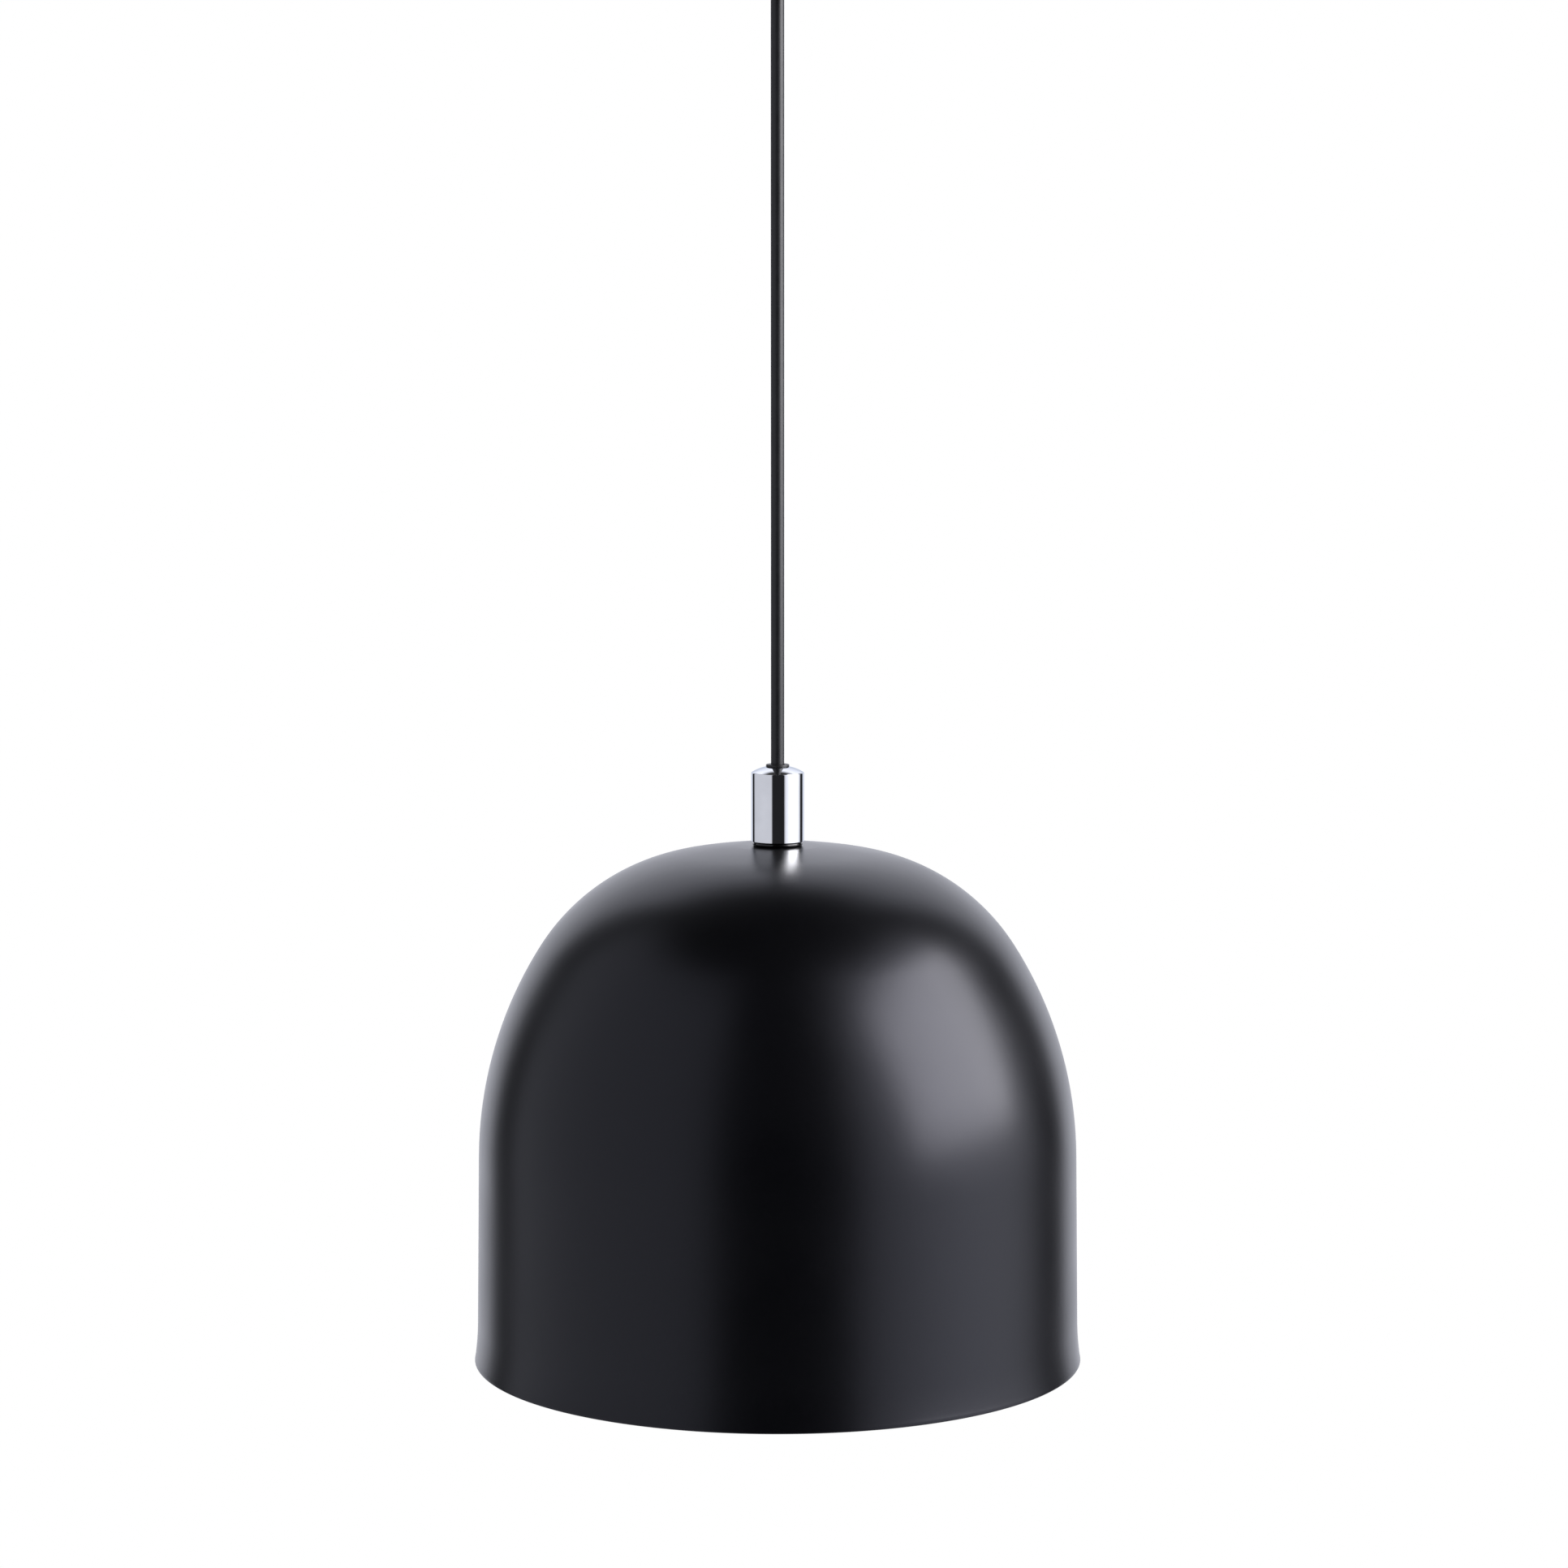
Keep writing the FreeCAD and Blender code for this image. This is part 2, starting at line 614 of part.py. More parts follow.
def terminals():
    """Two-pole terminal block under the bracket."""
    half = size.block_length / 2
    halfWidth = size.block_width / 2
    foot = bracketUnderside - size.block_height
    tubeHeight = size.block_height / 2
    pole = size.pole_spacing / 2
    body = newBody("terminal_block", z=foot)
    pad(body, "XY_Plane", [(-half, -halfWidth), (half, -halfWidth), (half, halfWidth), (-half, halfWidth)],
        size.block_height)
    tubeScrew = size.tube_screw_dia / 2
    row = size.tube_screw_spacing / 2
    for side in (-1, 1):
        roundHole(body, "XZ_Plane", pole * side, tubeHeight, size.tube_dia / 2, symmetric=True)
        for end in (-1, 1):
            roundHole(body, "XY_Plane", pole * side, row * end, tubeScrew, length=tubeHeight, flip=True)
    roundHole(body, "XY_Plane", 0, 0, screwRadius, flip=True)
    for name, side in (("live", -1), ("neutral", 1)):
        tube = newBody("terminal_tube_" + name, x=pole * side, z=foot + tubeHeight)
        sketch = sketchOn(tube, "XZ_Plane")
        circleAt(sketch, 0, 0, size.tube_dia / 2)
        circleAt(sketch, 0, 0, size.tube_bore / 2)
        padSketch(tube, sketch, size.block_width - size.tube_inset * 2, symmetric=True)
        for end in (-1, 1):
            roundHole(tube, "XY_Plane", 0, row * end, tubeScrew, length=size.tube_dia)
    screws = newBody("terminal_screws", z=foot)
    sketch = sketchOn(screws, "XY_Plane")
    for side in (-1, 1):
        for end in (-1, 1):
            circleAt(sketch, pole * side, row * end, tubeScrew)
    padSketch(screws, sketch, tubeHeight - size.tube_bore / 2)
    slottedScrew("terminal_block_screw", 0, 0, foot - size.screw_head_height, screwRadius,
                 size.block_height + size.bracket_sheet, size.pole_spacing / 2 - tubeScrew - size.part_gap,
                 size.screw_head_height)


def earthScrew():
    """Earth screw and washer on the bracket."""
    washer = newBody("earth_washer", x=size.earth_screw_x, z=bracketUnderside - size.lock_washer_height)
    turn(washer, [(size.earth_screw_dia / 2, 0), (size.earth_washer_dia / 2, 0),
                  (size.earth_washer_dia / 2, size.lock_washer_height),
                  (size.earth_screw_dia / 2, size.lock_washer_height)])
    head = size.earth_head_height
    slottedScrew("earth_screw", size.earth_screw_x, 0, bracketUnderside - size.lock_washer_height - head,
                 size.earth_screw_dia / 2, size.lock_washer_height + size.bracket_sheet,
                 size.earth_head_dia / 2, head)


def topCores():
    """Cable end inside the cup, and its cores up to the terminals and the earth screw."""
    keep(rod("cord_stub", cordRadius, stubTop - stubFoot, z=stubFoot), "cord_stub")
    start = stubTop.mm
    pole = size.pole_spacing.mm / 2
    side = size.block_width.mm / 2
    height = bracketUnderside.mm - size.block_height.mm / 2
    bend = start + 5
    shoulder = start + 12.5
    bulge = 8
    inside = 2
    for name, x in (("live", -pole), ("neutral", pole)):
        startX, startY = coreSpots[name]
        lead(name + "_core_top", [
            (startX, startY, start), (startX, startY, bend), (x, startY - bulge - 0.5, shoulder),
            (x, -side - bulge, (shoulder + height) / 2 + 1), (x, inside - side - bulge + 0.5, height),
            (x, inside - side, height)])
    x, y = coreSpots["earth"]
    screwX = size.earth_screw_x.mm
    edge = size.earth_head_dia.mm / 2 + 1
    lying = bracketUnderside.mm - size.lock_washer_height.mm - size.core_dia.mm / 2
    outside = edge + 6
    lead("earth_core_top", [
        (x, y, start), (x, y, bend), (x + 6, y + 5, shoulder + 0.5), (screwX - inside, outside, lying - 10),
        (screwX, outside + 0.5, lying - 0.6), (screwX, edge, lying)])


# ---------------------------------------------------------------- cable

def cable():
    """The straight cable, cut to a hollow end round the small ball where it bends."""
    keep(doc.addObject("Part::Sphere", "cord_knuckle"), "cord_knuckle")
    knuckle = pieces[-1]
    knuckle.setExpression("Radius", cordRadius.formula)
    place(knuckle, z=swingCentre)
    ball = doc.addObject("Part::Sphere", "cord_end_ball")
    ball.setExpression("Radius", ballRadius.formula)
    place(ball, z=swingCentre)
    cord = doc.addObject("Part::Cut", "pendant_cord")
    cord.Base = rod("cord_run", cordRadius, swingCentre - cordFoot, z=cordFoot)
    cord.Tool = ball
    keep(cord, "pendant_cord")


# ---------------------------------------------------------------- crown of the shade

cordInGrip = size.bush_stem + size.cord_past_bush
cordFoot = ferruleTop - cordInGrip
tailTop = cordFoot - size.swing_gap
tailFoot = ferruleFoot + size.grip_socket + size.grip_chamber


def ferruleAndBush():
    """Chromed cover over the cord grip, held down by the bush in its top."""
    outer = size.ferrule_dia / 2
    inner = outer - size.ferrule_wall
    stem = cordBore + size.bush_wall
    hole = stem + size.bush_play
    land = size.bush_dia / 2 + size.bush_play
    side = size.ferrule_height
    top = side + size.ferrule_rise
    body = newBody("ferrule", z=ferruleFoot)
    turning = turn(body, [
        (inner, 0), (outer, 0), (outer, side), (land, top, size.ferrule_dome_radius), (hole, top),
        (hole, top - size.ferrule_wall), (inner, side - size.ferrule_wall)])
    turning = soften(body, "Fillet", turning, rings(turning, outer, side), size.ferrule_edge)
    soften(body, "Fillet", turning, rings(turning, outer, 0), size.ferrule_foot_edge)
    collar = size.bush_dia / 2
    foot = size.bush_stem
    bush = newBody("ferrule_bush", z=bushFoot)
    turning = turn(bush, [(cordBore, 0), (stem, 0), (stem, foot), (collar, foot),
                          (collar, foot + size.bush_collar), (cordBore, foot + size.bush_collar)])
    soften(bush, "Fillet", turning, rings(turning, collar, foot + size.bush_collar), size.bush_edge)


def cordGrip():
    """Brass grip on the nipple: it holds the cable and the earth core."""
    outer = size.grip_dia / 2
    height = size.grip_height
    stem = cordBore + size.bush_wall
    stemFoot = size.ferrule_height + size.ferrule_rise - size.bush_stem
    chamberTop = size.grip_socket + size.grip_chamber
    chamber = threadRadius - size.grip_chamber_step
    slope = size.grip_chamfer
    body = turned("cord_grip", ferruleFoot, [
        (threadRadius, 0), (outer, 0), (outer, height - slope), (outer - slope, height), (stem, height),
        (stem, stemFoot), (cordBore, stemFoot), (cordBore, chamberTop), (chamber, chamberTop),
        (chamber, size.grip_socket), (threadRadius, size.grip_socket)])
    clampHeight = chamberTop + size.grip_screw_rise
    earthHeight = size.grip_socket + size.grip_chamber / 2
    for screwHeight in (clampHeight, earthHeight):
        roundHole(body, "XZ_Plane", 0, screwHeight, screwRadius, length=outer)
    setScrew("cord_grip_screw", ferruleFoot + clampHeight, NORTH, cordRadius, outer - cordRadius)
    setScrew("earth_terminal_screw", ferruleFoot + earthHeight, NORTH, chamber, outer - chamber)
    keep(rod("cord_tail", cordRadius, tailTop - tailFoot, z=tailFoot), "cord_tail")
    ring = size.ferrule_dia / 2 - size.gasket_inset
    turned("ferrule_gasket", seat, [(threadHole, 0), (ring, 0), (ring, size.gasket_height),
                                    (threadHole, size.gasket_height)])


def nippleStack():
    """Hollow nipple with the washers and the nut that clamp the shade."""
    bore = threadRadius - size.nipple_wall
    foot = capFoot + size.cap_height - size.cap_thread
    length = ferruleFoot + size.nipple_in_grip - foot
    body = newBody("threaded_nipple", z=foot)
    turning = turn(body, [(bore, 0), (threadRadius, 0), (threadRadius, length), (bore, length)])
    ends = rings(turning, threadRadius, 0) + rings(turning, threadRadius, length)
    soften(body, "Chamfer", turning, ends, size.nipple_chamfer)
    wide = size.washer_dia / 2
    turned("shade_washer", washerFoot, [(threadHole, 0), (wide, 0), (wide, size.washer_height),
                                        (threadHole, size.washer_height)])
    lockWasher()
    hexNut("nipple_nut", nutFoot)


def lockWasher():
    """Washer with a ring of teeth round its edge."""
    teeth = 14
    outer = size.lock_washer_dia / 2
    body = newBody("lock_washer", z=lockWasherFoot)
    turn(body, [(threadHole, 0), (outer, 0), (outer, size.lock_washer_height),
                (threadHole, size.lock_washer_height)])
    notch = sketchOn(body, "XY_Plane")
    base = outer - size.tooth_depth
    past = outer + size.tooth_depth / 1.6
    narrow = size.tooth_depth / 3.2
    wide = size.tooth_depth / 2
    outline(notch, [(base, -narrow), (past, -wide), (past, wide), (base, narrow)])
    gap = cut(body, notch, flip=True)
    pattern = body.newObject("PartDesign::PolarPattern", "lock_washer_teeth")
    pattern.Originals = [gap]
    pattern.Axis = (notch, ["N_Axis"])
    pattern.Angle = 360
    pattern.Occurrences = teeth
    body.Tip = pattern
    doc.recompute()


def circleCrossing(centreA, radiusA, centreB, radiusB):
    """The crossing of two circles that lies further from the axis."""
    apart = centreB - centreA
    along = (radiusA ** 2 - radiusB ** 2 + apart.Length ** 2) / (2 * apart.Length)
    across = math.sqrt(radiusA ** 2 - along ** 2)
    apart.normalize()
    foot = centreA + apart * along
    sideways = FreeCAD.Vector(-apart.y, apart.x, 0)
    return max((foot + sideways * across, foot - sideways * across), key=lambda point: point.x)


def shadeOutline(sketch):
    """Half of the dome: crown, shoulder and side arcs, a straight skirt and a flared rim."""
    rimRadius = size.shade_dia / 2
    flareFoot = rimRadius - size.rim_flare
    sideFoot = flareFoot - size.skirt_taper
    top = size.shade_height
    seatRadius = size.seat_dia / 2
    crownCentre = FreeCAD.Vector(0, top.mm - math.sqrt(size.crown_radius.mm ** 2 - seatRadius.mm ** 2), 0)
    slope = math.atan2(size.skirt_taper.mm, size.skirt_height.mm - size.flare_height.mm)
    outward = FreeCAD.Vector(math.cos(slope), math.sin(slope), 0)
    foot = FreeCAD.Vector(sideFoot.mm, size.skirt_height.mm, 0)
    sideCentre = foot - outward * size.side_radius.mm
    shoulder = size.shoulder_radius.mm
    shoulderCentre = circleCrossing(crownCentre, size.crown_radius.mm - shoulder,
                                    sideCentre, size.side_radius.mm - shoulder)
    highJoin = shoulderCentre + (shoulderCentre - crownCentre).normalize() * shoulder
    lowJoin = shoulderCentre + (shoulderCentre - sideCentre).normalize() * shoulder
    corner = FreeCAD.Vector(seatRadius.mm, top.mm, 0)
    flareJoin = FreeCAD.Vector(flareFoot.mm, size.flare_height.mm, 0)
    rimPoint = FreeCAD.Vector(rimRadius.mm, 0, 0)
    chord = flareJoin - rimPoint
    tilt = chord.getAngle(foot - flareJoin)
    flareRadius = chord.Length / (2 * math.sin(tilt))

    middle = FreeCAD.Vector(0, 0, 0)
    summit = FreeCAD.Vector(0, top.mm, 0)
    lines = [(summit, corner), (foot, flareJoin), (rimPoint, middle), (middle, summit)]
    seatLine, skirtLine, floorLine, axisLine = [
        sketch.addGeometry(Part.LineSegment(*ends), False) for ends in lines]
    arcs = [(highJoin, corner, size.crown_radius.mm), (lowJoin, highJoin, shoulder),
            (foot, lowJoin, size.side_radius.mm)]
    crown, bend, side = [sketch.addGeometry(arcBetween(*arc)[0], False) for arc in arcs]
    flare = sketch.addGeometry(arcBetween(flareJoin, rimPoint, flareRadius)[0], False)

    for first, end, second, start in ((seatLine, 2, crown, 2), (flare, 2, floorLine, 1),
                                      (floorLine, 2, axisLine, 1), (axisLine, 2, seatLine, 1)):
        sketch.addConstraint(Sketcher.Constraint("Coincident", first, end, second, start))
    for first, end, second, start in ((crown, 1, bend, 2), (bend, 1, side, 2),
                                      (side, 1, skirtLine, 1), (skirtLine, 2, flare, 1)):
        sketch.addConstraint(Sketcher.Constraint("Tangent", first, end, second, start))
    pin(sketch, axisLine, 1, 0, 0)
    pin(sketch, seatLine, 1, 0, top)
    pin(sketch, seatLine, 2, seatRadius, top)
    pin(sketch, skirtLine, 1, sideFoot, size.skirt_height)
    pin(sketch, skirtLine, 2, flareFoot, size.flare_height)
    pin(sketch, floorLine, 1, rimRadius, 0)
    constrain(sketch, "DistanceX", 0, -1, 1, crown, 3)
    constrain(sketch, "Radius", size.crown_radius, crown)
    constrain(sketch, "Radius", size.shoulder_radius, bend)
    constrain(sketch, "Radius", size.side_radius, side)


def shade():
    """Spun steel dome: turned solid, hollowed to the sheet, with the nipple's hole."""
    body = newBody("shade", z=rim)
    sketch = sketchOn(body, "XZ_Plane")
    shadeOutline(sketch)
    turning = body.newObject("PartDesign::Revolution", "shade_turning")
    turning.Profile = sketch
    turning.ReferenceAxis = (sketch, ["V_Axis"])
    doc.recompute()
    hollow(body, turning, 0, size.shade_wall)
    roundHole(body, "XY_Plane", 0, 0, threadHole, flip=True)


def hollow(body, solid, height, wall):
    """Hollow a turned solid inwards, open at its flat face at one height."""
    face = [number for number, face in enumerate(solid.Shape.Faces, start=1)
            if isinstance(face.Surface, Part.Plane)
            and abs(face.CenterOfMass.z - asLength(height).mm) < 1e-3][0]
    shell = body.newObject("PartDesign::Thickness", body.Label + "_wall")
    shell.Base = (solid, [f"Face{face}"])
    shell.setExpression("Value", wall.formula)
    shell.Reversed = True
    shell.Join = 1
    doc.recompute()


# ---------------------------------------------------------------- lampholder

holderRadius = size.holder_dia / 2
spigotRadius = holderRadius - size.holder_wall
coreRadius = spigotRadius - size.holder_wall
ledgeRadius = coreRadius - size.ledge_inset
socketInner = size.base_thread_dia / 2 + size.base_clearance
socketOuter = socketInner + size.socket_shell_wall


def holder():
    """Cap, skirt and insulating core of the lampholder."""
    neck = size.cap_neck_dia / 2
    shoulderTop = size.cap_height - size.cap_neck_height
    cavity = size.cap_height - size.cap_thread
    turned("holder_cap", capFoot, [
        (spigotRadius, 0), (holderRadius, 0), (holderRadius, size.cap_side),
        (neck, shoulderTop, size.cap_top_radius), (neck, size.cap_height), (threadRadius, size.cap_height),
        (threadRadius, cavity), (neck, cavity), (spigotRadius, size.cap_side)])
    lipRadius = holderRadius - size.skirt_lip_inset
    body = newBody("holder_skirt", z=skirtFoot)
    turning = turn(body, [
        (ledgeRadius, 0), (lipRadius, 0), (holderRadius, size.skirt_lip_height),
        (holderRadius, size.skirt_length),
        (spigotRadius, size.skirt_length), (spigotRadius, size.skirt_length + size.spigot_height),
        (coreRadius, size.skirt_length + size.spigot_height), (coreRadius, ledgeHeight),
        (ledgeRadius, ledgeHeight)])
    soften(body, "Fillet", turning, rings(turning, lipRadius, 0), size.skirt_lip_radius)
    core = newBody("holder_core", z=coreFoot)
    radius = coreRadius - size.cord_clearance
    turn(core, [(0, 0), (radius, 0), (radius, size.core_height), (0, size.core_height)])
    window = sketchOn(core, "XY_Plane")
    reach = size.terminal_offset - size.screw_head_dia / 2
    half = size.contact_width / 2 + size.contact_play
    outline(window, [(-reach, -half), (reach, -half), (reach, half), (-reach, half)])
    cut(core, window, flip=True)
    for side in (-1, 1):
        roundHole(core, "XY_Plane", size.terminal_offset * side, 0, screwRadius, flip=True)
    shell = newBody("screw_shell", z=coreFoot - size.contact_sheet - size.socket_shell_height)
    top = size.socket_shell_height
    lip = socketInner - size.socket_shell_lip
    turn(shell, [(socketInner, 0), (socketOuter, 0), (socketOuter, top), (lip, top),
                 (lip, top - size.socket_shell_wall), (socketInner, top - size.socket_shell_wall)])


def contacts():
    """Bent strips from the terminals to the bulb's contact and to the threaded shell."""
    strip = size.contact_sheet
    leg = size.terminal_offset - size.screw_head_dia / 2
    outer = size.terminal_offset + size.screw_head_dia / 2
    top = size.core_height
    tip = size.contact_tip / 2
    rise = size.contact_rise
    centre = newBody("centre_contact", z=coreFoot - size.contact_reach)
    up = size.contact_reach
    arm = up - rise
    pad(centre, "XZ_Plane", [
        (leg - strip, up + top + strip), (outer, up + top + strip), (outer, up + top), (leg, up + top),
        (leg, arm - strip), (tip, 0), (-tip, 0), (tip * -2, rise), (strip - tip * 2, rise + strip),
        (strip - tip, strip), (tip - strip, strip), (leg - strip, arm)],
        size.contact_width, symmetric=True)
    roundHole(centre, "XY_Plane", size.terminal_offset, 0, screwRadius, flip=True)
    side = newBody("side_contact", z=coreFoot - strip)
    pad(side, "XZ_Plane", [
        (-leg, strip + top), (-outer, strip + top), (-outer, strip + top + strip),
        (-leg + strip, strip + top + strip), (-leg + strip, 0), (-socketInner + rise, 0),
        (-socketInner + rise, strip), (-leg, strip)],
        size.contact_width, symmetric=True)
    roundHole(side, "XY_Plane", -size.terminal_offset, 0, screwRadius, flip=True, length=strip * 2 + top)
    for name, direction in (("holder_screw_live", 1), ("holder_screw_neutral", -1)):
        height = coreFoot + top + strip + size.screw_head_height
        screw = slottedScrew(name, size.terminal_offset * direction, 0, height, screwRadius,
                             size.core_height / 2, size.screw_head_dia / 2, size.screw_head_height)
        screw.Placement.Rotation = FreeCAD.Rotation(FreeCAD.Vector(1, 0, 0), 180)


def lowCores():
    """Cores from the end of the cable to the lampholder and to the earth screw."""
    start = tailFoot.mm
    nippleFoot = (capFoot + size.cap_height - size.cap_thread).mm
    landing = (coreFoot + size.core_height + size.contact_sheet).mm + size.core_dia.mm / 2
    play = 0.2
    touch = size.terminal_offset.mm - size.screw_head_dia.mm / 2 - play
    for name, spot, side in (("live", "neutral", 1), ("neutral", "live", -1)):
        x, y = coreSpots[spot]
        lead(name + "_core_low", [
            (x, y, start), (x, y, nippleFoot + 1), (side * (touch - 3.3), y / 2, nippleFoot - 3.2),
            (side * (touch - 2.4), 0, landing + play), (side * touch, 0, landing)])
    x, y = coreSpots["earth"]
    chamber = (threadRadius - size.grip_chamber_step).mm
    terminal = start - size.grip_chamber.mm / 2
    lead("earth_core_low", [(x, y, start), (x, y, terminal), (x, chamber, terminal)])


# ---------------------------------------------------------------- bulb

threadTop = size.bulb_length - size.eyelet_height - size.insulator_height
threadFoot = threadTop - size.base_pitch * size.base_turns - size.base_runout
collarFoot = threadFoot - size.base_collar
collarRadius = size.base_thread_dia / 2 + size.collar_step
neckRadius = collarRadius - size.base_sheet - size.collar_step


def bulbBase():
    """Threaded metal base with its insulator and contact."""
    crest = size.base_thread_dia / 2
    bottom = crest - size.base_thread_depth
    sheetWall = size.base_sheet
    rampFoot = threadFoot - size.collar_ramp
    crestFrom = size.base_pitch * 0.4
    points = [(collarRadius - sheetWall, collarFoot), (collarRadius, collarFoot),
              (collarRadius, rampFoot), (bottom, threadFoot)]
    for number in range(int(size.base_turns.mm)):
        height = threadFoot + size.base_pitch * number
        points.append((crest, height + crestFrom))
        points.append((crest, height + size.base_pitch - crestFrom))
        points.append((bottom, height + size.base_pitch))
    inner = bottom - sheetWall
    points += [(bottom, threadTop), (inner, threadTop), (inner, threadFoot),
               (collarRadius - sheetWall, rampFoot)]
    turned("bulb_screw_base", bulbFoot, points)
    tip = size.eyelet_dia / 2
    plug = threadTop - size.insulator_height / 3
    turned("bulb_base_insulator", bulbFoot, [
        (0, plug), (inner, plug), (inner, threadTop), (bottom, threadTop),
        (tip, threadTop + size.insulator_height), (0, threadTop + size.insulator_height)])
    body = newBody("bulb_contact_eyelet", z=bulbFoot + size.bulb_length - size.eyelet_height)
    turning = turn(body, [(0, 0), (tip, 0), (tip, size.eyelet_height), (0, size.eyelet_height)])
    soften(body, "Fillet", turning, rings(turning, tip, size.eyelet_height), size.eyelet_edge)


def bulbGlass():
    """Pear-shaped glass: a ball, a hollow arc and a straight neck."""
    ball = size.bulb_dia / 2
    hollowArc = size.neck_arc
    reach = neckRadius + hollowArc
    span = ball + hollowArc
    rise = root(span * span - reach * reach)
    share = ball / span
    body = newBody("bulb_glass", z=bulbFoot)
    top = threadFoot - size.eyelet_height
    turning = turn(body, [
        (0, 0), (ball, ball, ball), (reach * share, ball + rise * share, ball),
        (neckRadius, ball + rise, -hollowArc), (neckRadius, top), (0, top)])
    hollow(body, turning, top, size.bulb_wall)


def bulbInside():
    """Glass stem with four filament rods on wires."""
    post = size.post_dia / 2
    stem = size.stem_dia / 2
    low = size.bulb_dia / 2 - size.filament_length / 2
    high = low + size.filament_length
    edge = 1
    reach = 3
    flare = neckRadius - size.bulb_wall - size.swing_gap
    top = threadFoot - edge * 2
    turned("bulb_stem", bulbFoot, [
        (0, low - reach), (post, low - reach), (post, high - reach), (stem, high - edge),
        (stem, top - size.stem_flare_length), (flare, top - edge), (flare, top), (flare - edge, top),
        (0, top - size.stem_flare_length + reach)])
    circle = size.filament_circle / 2
    wireRadius = size.wire_dia / 2
    rods = []
    wires = []
    for quarter in range(4):
        across, along = ((1, 0), (0, 1), (-1, 0), (0, -1))[quarter]
        rods.append(rod(f"filament_{quarter}", size.filament_dia / 2, size.filament_length,
                        circle * across, circle * along, bulbFoot + low))
        for end, height, inner in (("low", low - wireRadius, post), ("high", high + wireRadius, stem)):
            span = circle + size.filament_dia / 2 - inner
            wire = rod(f"wire_{end}_{quarter}", wireRadius, span, inner * across, inner * along,
                       bulbFoot + height)
            turnAxis = FreeCAD.Vector(-along, across, 0)
            wire.Placement.Rotation = FreeCAD.Rotation(turnAxis, 90)
            wires.append(wire)
    for name, members in (("bulb_filaments", rods), ("bulb_lead_wires", wires)):
        group = doc.addObject("Part::Compound", name)
        group.Links = members
        keep(group, name)


# ---------------------------------------------------------------- build and write

ceilingBracket()
canopyCup()
canopyGrip()
terminals()
earthScrew()
topCores()
cable()
ferruleAndBush()
cordGrip()
nippleStack()
shade()
holder()
contacts()
lowCores()
bulbBase()
bulbGlass()
bulbInside()
doc.recompute()

for item in doc.Objects:
    if "Invalid" in item.State or "Error" in item.State:
        raise RuntimeError(f"{item.Name} has failed: {item.State}")
for piece in pieces:
    if piece.Shape.isNull() or not piece.Shape.isValid() or not piece.Shape.Solids:
        raise RuntimeError(f"{piece.Label} has no sound solid")

os.makedirs("parts", exist_ok=True)
for piece in pieces:
    piece.Shape.exportStep(f"parts/{piece.Label}.step")
print(len(pieces), "sub-parts written")
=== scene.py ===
import bpy
import math
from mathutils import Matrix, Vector


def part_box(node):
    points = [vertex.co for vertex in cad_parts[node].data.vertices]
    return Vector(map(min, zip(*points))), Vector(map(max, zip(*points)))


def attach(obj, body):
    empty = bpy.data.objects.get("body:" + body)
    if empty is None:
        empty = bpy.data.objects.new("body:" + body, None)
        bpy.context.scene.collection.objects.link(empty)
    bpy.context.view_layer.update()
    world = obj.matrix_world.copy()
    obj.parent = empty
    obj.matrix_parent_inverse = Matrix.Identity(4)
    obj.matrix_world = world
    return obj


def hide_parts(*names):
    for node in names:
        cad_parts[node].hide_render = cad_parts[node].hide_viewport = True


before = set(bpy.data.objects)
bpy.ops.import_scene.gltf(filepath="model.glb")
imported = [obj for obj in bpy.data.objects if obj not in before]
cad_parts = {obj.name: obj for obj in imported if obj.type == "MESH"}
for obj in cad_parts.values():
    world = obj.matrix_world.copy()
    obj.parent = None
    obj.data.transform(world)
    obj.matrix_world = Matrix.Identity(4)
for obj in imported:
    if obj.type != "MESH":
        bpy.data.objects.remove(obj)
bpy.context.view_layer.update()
print("frame loaded,", len(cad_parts), "nodes")

fullTurn = 2 * math.pi
zAxis = (0, 0, 1)


def spot(node):
    # lowest and highest corners of a CAD node
    low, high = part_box(node)
    return Vector(low), Vector(high)


shadeLow, shadeHigh = spot("shade")
rimHeight = shadeLow.z
seatHeight = shadeHigh.z
rimRadius = round((shadeHigh.y - shadeLow.y) / 2, 4)


# ---- camera, light and room

cameraSizes = {
    "lens": 94.09,  # mm on a 36 mm wide sensor
    "right": 0.0023,
    "back": 1.4629,
    "aboveRim": 0.3651,
    "down": 6.083,  # degrees
}


def addCamera():
    bpy.ops.object.select_all(action="DESELECT")
    place = (cameraSizes["right"], -cameraSizes["back"], rimHeight + cameraSizes["aboveRim"])
    tilt = math.radians(90 - cameraSizes["down"])
    bpy.ops.object.camera_add(location=place, rotation=(tilt, 0, 0))
    camera = bpy.context.object
    camera.name = "camera"
    camera.data.sensor_width = 36
    camera.data.lens = cameraSizes["lens"]
    camera.data.clip_start = 0.05
    bpy.context.scene.camera = camera


def addNode(tree, kind, settings=None, links=None):
    # one node, its settings, and what feeds it
    node = tree.nodes.new(kind)
    for name, value in (settings or {}).items():
        if isinstance(name, int) or name in node.inputs:
            node.inputs[name].default_value = value
        else:
            setattr(node, name, value)
    for name, source in (links or {}).items():
        tree.links.new(source, node.inputs[name])
    return node


def fillRamp(node, stops):
    # stops: place from 0 to 1, then a grey or a colour
    ramp = node.color_ramp
    while len(ramp.elements) > 1:
        ramp.elements.remove(ramp.elements[-1])
    for number, (place, tone) in enumerate(stops):
        element = ramp.elements[0] if number == 0 else ramp.elements.new(place)
        element.position = place
        element.color = tone if isinstance(tone, tuple) else (tone, tone, tone, 1)
    return node


